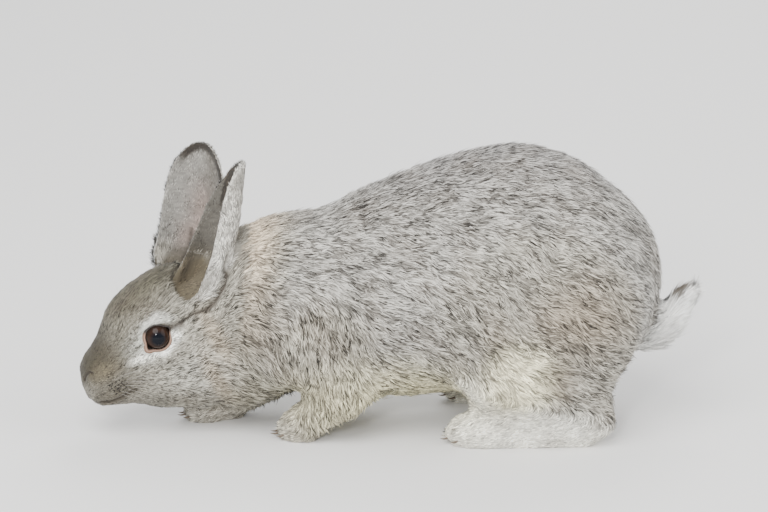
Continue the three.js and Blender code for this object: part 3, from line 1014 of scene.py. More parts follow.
@dataclass
class Eye:
    """An eyeball and the lids round it, on one side."""

    head: Head
    side: float
    name: str
    half_width: float = 7.5  # of the opening
    half_height: float = 7.8
    lid: float = 0.4  # half the thickness of the lid's margin
    level: float = 4.3  # how far out the face lies round the lids
    level_tilt: float = 0.6  # how much further out it lies below than above
    brow_shade: Colour = linear(66, 59, 51)  # painted shadow on the fur over the upper lid, under the brow
    pale: Colour = linear(255, 254, 245)  # of the fur behind and under the eye
    pale_front: Colour = linear(184, 185, 176)  # of the fur before and over it
    socket: Colour = linear(34, 24, 19)  # painted shade on the skin in behind the lids
    fold: float = 11.0  # degrees round the opening, where the fold to the ear starts
    low: float = 225.0  # where the margin of the lids is widest
    look_forward: float = 9.0  # degrees
    look_up: float = 4.0
    front_corner: float = 204.0  # degrees round the opening from straight back, by way of the crown
    back_corner: float = 13.0
    iris_reach: float = 58.0  # degrees from the middle of the pupil
    cornea: float = 0.03  # how far it swells out, as a share of the eyeball's radius
    slack: float = 0.1  # how far the eyeball stays inside its solid
    ring_reach: float = 1.78  # how far out the pale ring ends, where 1 is the opening's edge
    centre: Array = field(init=False)
    axes: Array = field(init=False)  # to the back, up and out, one in each row

    def __post_init__(self) -> None:
        """Finds the eye's place and the way that it looks."""
        self.centre = self.head.eyes[self.side]
        back, right, up = self.head.axes
        turn, rise = math.radians(self.look_forward), math.radians(self.look_up)
        out = unit(right * self.side * math.cos(turn) - back * math.sin(turn) + up * math.tan(rise))
        behind = unit(back - out * (back @ out))
        above = np.cross(out, behind) * self.side
        self.axes = np.stack([behind, above * np.sign(above @ up), out])

    def edge(self, angles: Array) -> Array:
        """How far out the opening reaches at each angle, where 1 is the plain oval."""
        corners = ((self.front_corner, 0.3), (self.back_corner, 0.27))
        return sum((0.22 * self.near_angle(angles, corner, sharp) for corner, sharp in corners), 1.0)

    def near_angle(self, angles: Array, degrees: float, spread: float) -> Array:
        """How close angles are to one that is given in degrees, from 0 to 1."""
        off = np.angle(np.exp(1j * (angles - math.radians(degrees))))
        return np.exp(-((off / spread) ** 2))

    def margin(self, angles: Array) -> Array:
        """Half the width of the lids' bare margin, in millimetres."""
        below = smoothstep(0.15, 0.6, 0.5 + 0.5 * np.cos(angles - math.radians(self.low)))
        return 0.5 + 0.7 * below + 0.7 * self.near_angle(angles, self.front_corner + 6, 0.22)

    def margin_reach(self, points: Array, share: float) -> Array:
        """How far out a share of the lids' margin reaches round the eye, where 1 is the opening's edge."""
        return 1 + 2 * share * self.margin(self.turn(points)) / self.half_width

    def offset(self, points: Array) -> Array:
        """Points of the row frame as they lie from the eye's centre: back, up and out."""
        return (points - self.centre) @ self.axes.T

    def turn(self, points: Array) -> Array:
        """The angle round the eye at which points lie, from straight back by way of the crown."""
        offset = self.offset(points)
        return np.arctan2(offset[:, 1], offset[:, 0])

    def measure(self, points: Array) -> tuple[Array, Array, Array]:
        """Where points are about the eye.

        Args:
            points: Places in the row frame.

        Returns:
            How far out each is, where 1 is the opening's edge; its distance from the eye's centre in
            millimetres; and whether it is on the eye's outer side.
        """
        offset = self.offset(points) / MM
        across, up, out = offset.T
        angles = np.arctan2(up / self.half_height, across / self.half_width)
        reach = np.hypot(across / self.half_width, up / self.half_height) / self.edge(angles)
        return reach, np.linalg.norm(offset, axis=1), out > 0

    def lie_out(self, across: Array, up: Array) -> Array:
        """How far out the lids lie: on the eyeball, and level with the face beyond it.

        Args:
            across: How far back each place is from the eye's middle, in millimetres.
            up: How far up it is.

        Returns:
            How far out from the eye's centre, in millimetres.
        """
        low = math.radians(self.low + 65)
        level = self.level + self.level_tilt * np.cos(np.arctan2(up, across) - low)
        ball = np.sqrt(np.maximum(self.head.eye_radius**2 - across**2 - up**2, 0.0))
        return np.logaddexp(ball * 3, level * 3) / 3

    def settle(self, points: Array) -> Array:
        """Lays the skin under the lids' margin and draws it in behind the eyeball.

        Args:
            points: The skin's points.

        Returns:
            The points where they come to lie.
        """
        reach, distance, outer = self.measure(points)
        across, up, out = (self.offset(points) / MM).T
        near = outer & (distance < self.head.eye_radius * 2)
        lid = self.lie_out(across, up)
        target = np.where(reach < self.margin_reach(points, 0.45), lid - 3.0, lid)
        share = near * (1 - smoothstep(1.6, 2.3, reach))
        return points + ((blend(out, target, share) - out) * MM)[:, None] * self.axes[2]

    def rim(self, angles: Array, lift: float, grow: float | Array = 1.0) -> Array:
        """Points of the opening's edge.

        Args:
            angles: Where round the opening.
            lift: Millimetres above the eyeball or the face.
            grow: How far out, where 1 is the edge.

        Returns:
            Places in the row frame.
        """
        reach = self.edge(angles) * grow
        across = np.cos(angles) * self.half_width * reach
        up = np.sin(angles) * self.half_height * reach
        out = self.lie_out(across, up) + lift
        return self.centre + np.stack([across, up, out], axis=1) * MM @ self.axes

    def build_ball(self) -> bpy.types.Object:
        """Builds the eyeball, with a slight swell over the iris."""
        rings, spokes = 40, 64
        polar = np.linspace(0, np.pi, rings + 1)[1:-1]
        turn = np.arange(spokes) * 2 * np.pi / spokes
        p, t = np.meshgrid(polar, turn, indexing="ij")
        swell = 1 + self.cornea * np.exp(-((p / 0.75) ** 2))
        grid = np.stack([np.sin(p) * np.cos(t), np.sin(p) * np.sin(t), np.cos(p)], axis=-1) * swell[..., None]
        points = np.concatenate([[[0, 0, 1 + self.cornea]], grid.reshape(-1, 3), [[0, 0, -1]]])
        points = points * (self.head.eye_radius - self.slack)
        faces = cap_faces(0, 1, spokes, False) + band_faces(rings - 1, spokes, 1)
        faces += cap_faces(len(points) - 1, 1 + (rings - 2) * spokes, spokes, True)
        ball = Shell(self.centre + points * MM @ self.axes, np.array(faces)).turned_out(self.centre)
        piece = ball.piece(f"eyeball_{self.name}")
        from_pupil = np.arccos(np.clip(unit(points)[:, 2], -1, 1)) / math.radians(self.iris_reach)
        carry(piece.data, "gaze", np.outer(np.clip(from_pupil, 0, 1), (1.0, 0.0, 0.0)))
        return piece

    def build_lid(self) -> bpy.types.Object:
        """Builds the bare margin of the lids: a flat rounded ring, widest below and in the front corner."""
        spokes, turns = 120, 12
        angles = np.arange(spokes) * 2 * np.pi / spokes
        half = self.margin(angles)
        middle = self.rim(angles, 0.25, 1 + half / self.half_width)
        along = unit(np.roll(middle, -1, axis=0) - np.roll(middle, 1, axis=0))
        outward = unit(unit(middle - self.centre) * 0.5 + self.axes[2])
        across = unit(np.cross(along, outward))
        across = across * np.sign(dots(across, middle - self.rim(angles, 0.25)))
        phase = np.arange(turns) * 2 * np.pi / turns
        wide = half[:, None, None] * np.cos(phase)[None, :, None]
        high = self.lid * np.sin(phase)[None, :, None]
        circle = across[:, None] * wide + outward[:, None] * high
        points = (middle[:, None] + circle * MM).reshape(-1, 3)
        ring = Shell(points, np.array(band_faces(spokes, turns, looped=True)))
        piece = ring.turned_out(np.repeat(middle, turns, axis=0)).piece(f"eyelid_{self.name}")
        upper = np.repeat(0.5 - 0.5 * np.cos(angles - math.radians(self.low + 22)), turns)
        out = np.tile(0.5 + 0.5 * np.cos(phase), spokes)
        carry(piece.data, "gaze", np.stack([upper, out, out], axis=1))
        return piece

    def comb(self, growth: Growth, points: Array) -> None:
        """Clears the coat off the lids, shortens it round them and pales it, with painted shadow under the
        brow and painted shade in behind the lids.

        Args:
            growth: What grows on the skin.
            points: The skin's points.
        """
        reach, distance, outer = self.measure(points)
        near = outer & (distance < self.head.eye_radius * 2.4)
        angles = self.turn(points)
        bare = self.margin_reach(points, 0.9)
        fold = self.near_angle(angles, self.fold, 0.4)
        bright = np.clip(smoothstep(-0.2, 0.7, np.cos(angles + math.radians(75))), 0, 1)
        bright = np.maximum(bright, 0.6 * self.near_angle(angles, 72, 0.75))[:, None]
        limit = self.ring_reach - 0.25 * self.near_angle(angles, -70, 0.5)
        limit = limit + 0.2 * self.near_angle(angles, 68, 0.6)
        ring = near * (1 - smoothstep(-0.2, 0.22, reach - limit)) * (1 - fold)
        growth.lean(ring, tone=blend(np.array(self.pale_front), np.array(self.pale), bright), fleck=0.45)
        # painted shadow under the brow, on the fur over the upper lid
        brow = self.near_angle(angles, 40, 0.5) * (1 - smoothstep(1.15, 1.4, reach))
        growth.lean(near * brow, tone=self.brow_shade)
        # painted shade in the gap behind the lids
        growth.lean(near * (reach < self.margin_reach(points, 0.6)), tone=self.socket)
        growth.scale(density=np.where(near, np.where(reach < bare, 0.0, 1.3), 1.0))
        for name, least, full in (("length", 0.55, 2.2), ("width", 0.75, 2.0), ("lift", 0.6, 2.0)):
            factor = blend(least, 1.0, smoothstep(1.1, full, reach))
            growth.scale(**{name: np.where(near, factor, 1.0)})


@dataclass
class Claw:
    """One claw's place, read from the solid of its paw."""

    tip: Array
    base: Array


def welded(source: bpy.types.Mesh) -> bmesh.types.BMesh:
    """A solid opened for work, with the points that lie together made one."""
    work = bmesh.new()
    work.from_mesh(source)
    bmesh.ops.remove_doubles(work, verts=work.verts, dist=WELD)
    return work


def closed_up(work: bmesh.types.BMesh) -> Shell:
    """Ends the work on a solid.

    Args:
        work: The solid as it was worked on, which is freed.

    Returns:
        The solid as a shell.
    """
    mesh = bpy.data.meshes.new("passing")
    work.to_mesh(mesh)
    work.free()
    shell = Shell.of(mesh)
    bpy.data.meshes.remove(mesh)
    return shell


def without_claws(source: bpy.types.Mesh) -> tuple[Shell, list[Claw]]:
    """Takes the claws off a paw.

    Args:
        source: The paw's solid.

    Returns:
        The paw with its holes filled, and where the claws were.
    """
    work = welded(source)
    claws = []
    sharp = 2.4  # radians of face round the point of a claw
    needles = [v for v in work.verts if v.link_loops and sum(x.calc_angle() for x in v.link_loops) < sharp]
    for tip in needles:
        ring = [edge.other_vert(tip).co for edge in tip.link_edges]
        base = sum(ring, Vector()) / len(ring)
        claws.append(Claw(np.array(tip.co), np.array(base)))
    bmesh.ops.delete(work, geom=needles, context="VERTS")
    bmesh.ops.holes_fill(work, edges=[edge for edge in work.edges if edge.is_boundary], sides=0)
    bmesh.ops.triangulate(work, faces=work.faces)
    return closed_up(work), claws


@dataclass
class Skin:
    """The one skin under the coat, and all that grows on it at each of its points."""

    head: Head
    eyes: list[Eye]
    voxel: float = 0.95
    overlap: float = 0.45  # how far each solid is grown, to close the cuts
    muzzle_depth: float = 0.9  # from the solid in to the skin, on the muzzle
    toe_groove: float = 13.0  # how far back the toes part
    sole: float = 0.25  # how far the soles stay off the floor
    kept: float = 0.42  # share of the faces that the thinning leaves
    streak_seed: int = 3
    nose: tuple[float, float, float] = (-54.0, 0.0, -22.0)  # where the hairs of the face part
    shade: Colour = linear(50, 43, 37)  # painted shade in the folds
    shell: Shell = field(init=False)
    claws: dict[str, list[Claw]] = field(default_factory=dict)
    grooves: list[Groove] = field(default_factory=list)
    nodes: list[str] = field(init=False)
    node_of: Array = field(init=False)
    region_of: Array = field(init=False)

    def gather(self) -> Shell:
        """Joins the solids into one shell, each grown so that it laps over its neighbours."""
        grown = []
        for node in self.nodes:
            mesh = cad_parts[node].data
            if Region.of(node) in (Region.FOREPAW, Region.HINDFOOT):
                shell, self.claws[node] = without_claws(mesh)
            else:
                shell = closed_up(welded(mesh))
            shell.points = shell.points + shell.normals() * self.overlap * MM
            grown.append(shell)
        return Shell.joined(grown)

    def locate(self, shell: Shell) -> Array:
        """Finds the node whose solid is nearest to each point.

        Args:
            shell: The points.

        Returns:
            The node's place in the list of nodes.
        """
        solids = [Shell.of(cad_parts[node].data) for node in self.nodes]
        owner = np.repeat(np.arange(len(solids)), [len(solid.faces) for solid in solids])
        whole = Shell.joined(solids)
        tree = BVHTree.FromPolygons(whole.points.tolist(), whole.faces.tolist())
        found = [tree.find_nearest(point)[2] for point in shell.points.tolist()]
        return owner[np.array(found)]

    def per_region(self, name: str) -> Array:
        """One of the numbers of the coat's lie, at each point."""
        table = np.array([getattr(LIES[region], name) for region in Region], float)
        return table[self.region_of]

    def is_on(self, *regions: Region) -> Array:
        """Whether each point is on one of some regions."""
        return np.isin(self.region_of, [region.value for region in regions])

    def share_on(self, rounds: int, *regions: Region) -> Array:
        """How much each point is on them, from 0 to 1, softened over some rounds."""
        return self.shell.smoothed(self.is_on(*regions).astype(float), rounds)

    def sort_points(self) -> None:
        """Notes each point's node and region."""
        self.node_of = self.locate(self.shell)
        regions = np.array([Region.of(node).value for node in self.nodes])
        self.region_of = regions[self.node_of]

    def build(self) -> None:
        """Builds the skin's shape."""
        self.nodes = sorted(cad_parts)
        solid = self.gather()
        size = self.voxel * MM
        self.shell = modified(solid, "union", "REMESH", mode="VOXEL", voxel_size=size, adaptivity=0.0)
        log.info("union: %d points", len(self.shell.points))
        self.sort_points()
        self.even_out()
        self.draw_in()
        self.carve()
        self.thin_out()
        log.info("skin: %d points, %d faces", len(self.shell.points), len(self.shell.faces))

    def even_out(self) -> None:
        """Takes the facets out of the form, more where they are larger."""
        calm = self.shell.smoothed(self.per_region("calm"), 12)
        most = 96
        rate = np.clip(calm / most, 0.0, 1.0) * 0.6
        self.shell.points = self.shell.smoothed(self.shell.points, most, rate)

    def draw_in(self) -> None:
        """Brings the skin inside the solids by the depth of the coat, and sets the soles on the floor."""
        depth = self.shell.smoothed(self.per_region("depth"), 40)
        local = self.head.local(self.shell.points)
        muzzle = 1 - smoothstep(-34, -14, local[:, 0])
        depth = np.where(self.is_on(Region.HEAD), blend(depth, self.muzzle_depth, muzzle), depth)
        normals = unit(self.shell.smoothed(self.shell.normals(), 6))
        floor = self.shell.points[:, 2]
        made = self.shell.points - normals * (depth + self.overlap * 0.6)[:, None] * MM
        sole = 1 - smoothstep(0.5 * MM, 3.0 * MM, floor)
        made[:, 2] = blend(made[:, 2], self.sole * MM, sole)
        made[:, 2] = np.maximum(made[:, 2], self.sole * MM)
        self.shell.points = made

    def carve(self) -> None:
        """Swells the pads of the face, cuts its folds and those between the toes, and sets in the eyes."""
        both = folded(self.head.local(self.shell.points))
        normals = unit(self.shell.smoothed(self.shell.normals(), 3))
        for pad in FACE_PADS:
            out = np.linalg.norm((both - pad.at) / pad.half, axis=1)
            swell = (1 - smoothstep(0.0, 1.3, out)) * pad.rise * MM
            self.shell.points = self.shell.points + normals * swell[:, None]
        self.sink_ears()
        self.lay_grooves()
        for groove in self.grooves:
            self.shell.points = groove.carve(self.shell.points, normals)
        for eye in self.eyes:
            self.shell.points = eye.settle(self.shell.points)

    def ear_floor(self, side: float, wide: float) -> tuple[Array, Array]:
        """Where the hollow of an ear runs into the head.

        Args:
            side: Which ear's.
            wide: How far out it reaches, in millimetres.

        Returns:
            How much of it each point has, and the way that the ear points, in the head's frame.
        """
        root, tip = EAR_LINES[side]
        axis = unit(np.array(tip) - root)
        offset = self.head.local(self.shell.points) - root
        along = offset @ axis
        out = np.linalg.norm(offset - along[:, None] * axis, axis=1)
        share = (1 - smoothstep(wide * 0.4, wide, out)) * (along > -EAR_SINK) * self.share_on(2, Region.HEAD)
        return share, axis

    def sink_ears(self) -> None:
        """Draws the skin down where the hollow of each ear runs into the head."""
        for side in SIDES.values():
            share, axis = self.ear_floor(side, EAR_WIDE)
            self.shell.points = self.shell.points - self.head.world_vector(axis) * (share * EAR_SINK)[:, None]

    def lay_grooves(self) -> None:
        """Lays the folds of both sides of the face, and those between neighbouring toes."""
        tree = BVHTree.FromPolygons(self.shell.points.tolist(), self.shell.faces.tolist())
        for cut, line in FACE_CREASES.values():
            for side in SIDES.values():
                path = self.head.world(np.array(line) * [1, side, 1])
                self.grooves.append(Groove.laid(path, tree, cut))
        for claws in self.claws.values():
            row = sorted(claws, key=lambda claw: claw.base[1])
            for one, other in zip(row[:-1], row[1:]):
                middle = (one.base + other.base) / 2
                back = -unit(unit(one.tip - one.base) + unit(other.tip - other.base)) * [1, 1, 0]
                start = middle - back * 2.0 * MM + [0, 0, 1.0 * MM]
                end = middle + back * self.toe_groove * MM + [0, 0, 9.0 * MM]
                path = np.array([start, (start + end) / 2 + [0, 0, 3.0 * MM], end])
                self.grooves.append(Groove.laid(path, tree, TOE_CUT))

    def thin_out(self) -> None:
        """Spares points where the form is plain, and keeps them on the face, the ears and the forepaws."""
        weight = 1 - self.share_on(6, Region.HEAD, Region.EAR, Region.FOREPAW)
        settings = {"decimate_type": "COLLAPSE", "ratio": self.kept, "vertex_group_factor": 1.0}
        self.shell = modified(self.shell, "thinning", "DECIMATE", np.clip(weight, 0, 1), **settings)
        self.sort_points()

    def flows(self) -> Array:
        """The way that the hairs lie at each point, along the skin."""
        table = np.array([LIES[region].flow for region in Region], float)
        flow = unit(table[self.region_of])
        local = self.head.local(self.shell.points)
        away = unit(unit(local - self.nose) + [0.25, 0, 0])
        flow = np.where(self.is_on(Region.HEAD)[:, None], away @ self.head.axes, flow)
        normals = self.shell.normals()
        flow = self.shell.smoothed(flow, 40)
        return unit(flow - normals * dots(flow, normals))

    def tones(self) -> Array:
        """The colour of the markings at each point."""
        table = np.array([linear(*LIES[region].tone) for region in Region])
        tones = self.shell.smoothed(table[self.region_of], 30)
        points = self.shell.points
        tones = tones * (1 + 0.035 * ripple(points, 22, 21) + 0.03 * ripple(points, 55, 22))[:, None]
        body = shade_patches(tones, self.body_places(), BODY_PATCHES.values())
        tones = np.where(self.is_on(Region.EAR, Region.HEAD)[:, None], tones, body)
        face = shade_patches(tones, self.head.local(points), HEAD_PATCHES.values())
        tones = np.where(self.is_on(Region.HEAD, Region.NECK)[:, None], face, tones)
        return self.shell.smoothed(tones, 3)

    def body_places(self) -> Array:
        """Each point in shares of the solids' whole box, with 0 in the middle and 1 at the side for Y."""
        low, high = (np.array(corner) for corner in SOLID_BOUNDS)
        places = (self.shell.points - low) / (high - low)
        places[:, 1] = np.abs(places[:, 1] * 2 - 1)
        return places

    def growth(self) -> Growth:
        """All that grows at each point."""
        even = {name: self.shell.smoothed(self.per_region(name), 30) for name in GROWN[:4]}
        density = self.shell.smoothed(self.per_region("density"), 12)
        fleck = self.shell.smoothed(self.per_region("fleck"), 10)
        flow = self.flows()
        streak = np.random.default_rng(self.streak_seed).normal(size=len(flow))
        streak = self.shell.smoothed(streak, 3, 0.7, flow)
        streak = streak / streak.std()
        growth = Growth(flow=flow, tone=self.tones(), density=density, fleck=fleck, streak=streak, **even)
        local, places = self.head.local(self.shell.points), self.body_places()
        on_head = self.share_on(4, Region.HEAD)
        growth.scale(length=blend(1.0, blend(0.55, 1.5, smoothstep(-46, 40, local[:, 0])), on_head))
        for name, coat in PATCH_COATS.items():
            if name in BODY_PATCHES:
                share = patch_share(BODY_PATCHES[name], places)
            else:
                share = patch_share(HEAD_PATCHES[name], local) * on_head
            growth.lean(share, **coat)
        for name, side in SIDES.items():
            EarSheet(name, side, self).comb(growth)
        self.comb_tail(growth)
        for side in SIDES.values():
            # painted shade where the ear's hollow runs down into the head
            floor = np.clip(self.ear_floor(side, EAR_SHADE_WIDE)[0] * 2.5, 0, 0.9)
            growth.lean(floor, tone=EarSheet.deep, length=2.6, lift=9)
            for spot in whisker_roots(side):
                gap = np.linalg.norm((local - spot)[:, [0, 2]], axis=1) + 10 * (local[:, 1] * side < 0)
                growth.lean(0.4 * np.exp(-((gap / 0.9) ** 2)), tone=EarSheet.lace)
        for groove in self.grooves:
            groove.comb(growth, self.shell.points, self.shade)
        for eye in self.eyes:
            eye.comb(growth, self.shell.points)
        growth.scale(density=(self.shell.points[:, 2] > 0.6 * MM).astype(float))
        return growth

    def place(self, growth: Growth, unwrap: "Unwrap", material: bpy.types.Material) -> None:
        """Puts the skin in the scene, where it stands for the solids of flesh.

        Args:
            growth: What grows on it.
            unwrap: Its bake map.
            material: Its finish.
        """
        piece = self.shell.piece("skin")
        light = 0.5 * growth.streak
        # the skin between the tufts takes the painted root shade of a low point on a tuft
        up, warm = np.full(len(light), 0.3), np.full(len(light), 0.1)
        carry(piece.data, "tone", growth.tone)
        carry(piece.data, "hair", np.stack([up, light, warm], axis=1))
        unwrap.write(piece.data, unwrap.of_faces().reshape(-1, 2))
        dress(piece, material, "coat")
        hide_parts(*[node for node in self.nodes if not node.startswith("eye_")])

    def comb_tail(self, growth: Growth) -> None:
        """Darkens the strip along the front of the raised tail."""
        facing = self.shell.smoothed(self.shell.normals(), 4) @ unit(np.array([-0.85, 0.0, 0.5]))
        front = smoothstep(0.55, 0.9, facing)
        growth.lean(self.share_on(2, Region.TAIL) * front, tone=linear(96, 90, 82))


EAR_COATS = {
    "hollow": {"length": 2.1, "lift": 14, "density": 2.8, "width": 0.42, "fleck": 0.85},
    "cover": {"length": 5.2, "lift": 13, "fleck": 0.75},
    "lace": {"fleck": 0.3},
    "rim": {"length": 2.6, "lift": 16, "density": 2.8, "fleck": 0.4},
    "foot": {"length": 6.5, "lift": 16, "density": 2.8, "width": 0.5, "fleck": 0.4},
}  # how the coat grows on each part of an ear
LACE_FROM = {-1.0: (0.88, 0.6), 1.0: (0.74, 0.84)}  # how high the lacing starts, at the inner and outer rim


@dataclass
class EarSheet:
    """One ear as a curled sheet: which face is its hollow, and how far off and which way its rims are."""

    name: str
    side: float
    skin: Skin
    slice: float = 4.0  # half the height of a cross-section that is measured, in millimetres
    dim: Colour = linear(110, 106, 99)
    pink: Colour = linear(158, 138, 129)
    pale: Colour = linear(139, 137, 131)
    sheltered: Colour = linear(88, 86, 80)  # painted shade on the inner half of the left ear, which folds over
    # painted shade in the deep hollow at the ear's foot
    deep: Colour = linear(84, 75, 55)
    lace: Colour = linear(20, 18, 16)
    fringe: Colour = linear(212, 209, 200)
    fluff: Colour = linear(186, 181, 168)  # at the foot of the outer rim
    points: Array = field(init=False)  # the numbers of the skin's points on this ear
    hollow: Array = field(init=False)  # 1 on the inner face and 0 on the outer
    rim: Array = field(init=False)  # millimetres to the nearest rim
    height: Array = field(init=False)  # from 0 at the root to 1 at the tip
    lateral: Array = field(init=False)  # from -1 at the inner rim to 1 at the outer
    axis: Array = field(init=False)
    across: Array = field(init=False)  # towards the outer rim, at each point

    def __post_init__(self) -> None:
        """Measures the sheet, one cross-section after another."""
        shell = self.skin.shell
        self.points = np.nonzero(self.skin.node_of == self.skin.nodes.index(f"ear_{self.name}"))[0]
        places, normals = shell.points[self.points], shell.normals()[self.points]
        middle = places.mean(axis=0)
        self.axis = np.linalg.eigh(np.cov((places - middle).T))[1][:, 2]
        self.axis = self.axis * np.sign(self.axis[2])
        first = unit(np.cross(self.axis, [1.0, 0, 0]))
        second = np.cross(self.axis, first)
        along, a, b = ((places - middle) @ np.stack([self.axis, first, second]).T / MM).T
        self.height = (along - along.min()) / np.ptp(along)
        stations = np.arange(along.min() + 2, along.max() - 1, 3.0)
        slices = [np.abs(along - station) < self.slice for station in stations]
        table = np.array([self.fit(a[near], b[near]) for near in slices])
        for _ in range(2):
            table[1:-1] = (table[:-2] + table[1:-1] * 2 + table[2:]) / 4
        centre_a, centre_b, mid_a, mid_b = (np.interp(along, stations, column) for column in table.T)
        inward = unit((centre_a - a)[:, None] * first + (centre_b - b)[:, None] * second)
        facing = dots(normals, inward)[:, 0]
        upright = np.abs(normals @ self.axis)
        at_rim = (np.abs(facing) < 0.4) & ((upright < 0.6) | (self.height > 0.6))
        tree = KDTree(int(at_rim.sum()))
        for index, place in enumerate(places[at_rim].tolist()):
            tree.insert(place, index)
        tree.balance()
        self.rim = np.array([tree.find(place)[2] for place in places.tolist()]) / MM
        middle_way = unit((mid_a - centre_a)[:, None] * first + (mid_b - centre_b)[:, None] * second)
        across = np.cross(self.axis, middle_way)
        outer = -self.side  # the ears open towards the left, so their outer rims lie on opposite sides
        self.across = across * np.sign(across[:, :1]) * outer
        angle = np.arctan2(dots(-inward, self.across)[:, 0], dots(-inward, middle_way)[:, 0])
        spans = [np.percentile(np.abs(angle[near]), 96) for near in slices]
        self.lateral = np.clip(angle / np.interp(along, stations, spans), -1, 1)
        self.hollow = shell.smoothed(self.spread_out(smoothstep(-0.2, 0.3, facing)), 2)[self.points]

    def fit(self, a: Array, b: Array) -> tuple[float, float, float, float]:
        """Fits a circle to a cross-section.

        Args:
            a: Where its points are, one way.
            b: Where they are, the other way.

        Returns:
            The circle's centre, and the middle of the points.
        """
        known = np.stack([2 * a, 2 * b, np.ones_like(a)], axis=1)
        solved = np.linalg.lstsq(known, a**2 + b**2, rcond=None)[0]
        return float(solved[0]), float(solved[1]), float(a.mean()), float(b.mean())

    def spread_out(self, values: Array) -> Array:
        """Values of this ear's points, in an array for all the skin."""
        whole = np.zeros((len(self.skin.shell.points), *values.shape[1:]))
        whole[self.points] = values
        return whole

    def comb(self, growth: Growth) -> None:
        """Sets the ear's colours and the way that its hairs grow.

        Args:
            growth: What grows on the skin.
        """
        self.comb_hollow(growth)
        rise = 0.45 + 0.9 * smoothstep(0.7, 0.95, self.height)
        over = self.spread_out(unit(self.axis * rise[:, None] + self.across * self.lateral[:, None]))
        back = 1 - smoothstep(0.25, 0.6, self.hollow)
        cover = back * smoothstep(0.1, 0.6, self.lateral) * (1 - smoothstep(0.72, 0.9, self.height))
        growth.lean(self.spread_out(cover), tone=self.fringe, flow=over, **EAR_COATS["cover"])
        growth.lean(self.spread_out(self.laced()), tone=self.lace, **EAR_COATS["lace"])
        edge = back * (1 - smoothstep(1.2, 2.8, self.rim))
        edge = edge * smoothstep(0.1, 0.5, np.maximum(self.lateral, self.height - 0.3))
        edge = edge * smoothstep(0.3, 0.42, self.height)
        growth.lean(self.spread_out(edge), tone=self.fringe, flow=over, **EAR_COATS["rim"])
        foot = (1 - smoothstep(0.16, 0.36, self.height)) * smoothstep(0.2, 0.55, self.lateral)
        foot = foot * smoothstep(0.3, 0.8, self.hollow) * smoothstep(1.0, 3.0, self.rim)
        foot = foot * (0.3 if self.side < 0 else 1.0)
        outward = self.spread_out(unit(self.axis * 0.8 + self.across * 0.5))
        growth.lean(self.spread_out(foot), tone=self.fluff, flow=outward, **EAR_COATS["foot"])
        growth.flow = unit(growth.flow)

    def comb_hollow(self, growth: Growth) -> None:
        """Colours the hollow: dim within, pale outwards and rosy halfway up, with painted shade over the
        inner half of the left ear and at its foot.

        Args:
            growth: What grows on the skin.
        """
        hollow, height = self.hollow, self.height
        along = np.tile(self.axis, (len(self.points), 1))
        growth.lean(self.spread_out(np.ones(len(self.points))), flow=self.spread_out(along))
        outer_half = smoothstep(-0.25, 0.5, self.lateral)
        rosy = np.exp(-(((self.lateral - 0.1) / 0.35) ** 2)) * smoothstep(0.2, 0.4, height)
        rosy = rosy * (1 - smoothstep(0.6, 0.85, height))
        growth.lean(self.spread_out(hollow), tone=self.dim, **EAR_COATS["hollow"])
        tones = [(hollow * outer_half, self.pale), (hollow * rosy * 0.6, self.pink)]
        # painted shade on the inner half of the left ear
        if self.side < 0:
            tones.insert(1, (hollow * (1 - outer_half), self.sheltered))
        # painted shade deep in the hollow at its foot
        tones.append((hollow * (1 - smoothstep(0.1, 0.36, height)) * 0.85, self.deep))
        for share, tone in tones:
            growth.lean(self.spread_out(share), tone=tone)

    def laced(self) -> Array:
        """How much of the dark lacing each point has along the rims, and of a dark strip over the left ear's
        turned tip.
        """
        start = blend(*LACE_FROM[self.side], smoothstep(-0.25, 0.5, self.lateral))
        rims = self.hollow * (1 - smoothstep(3.2, 7.0, self.rim))
        rims = rims * smoothstep(-0.06, 0.05, self.height - start)
        if self.side > 0:
            return rims
        line = self.lateral + 0.9 * self.height + 0.22
        strip = self.hollow * smoothstep(-0.03, 0.03, line) * smoothstep(0.57, 0.63, self.height)
        return np.maximum(rims, strip * (1 - smoothstep(-0.62, -0.25, self.lateral)))


# --- the bake map


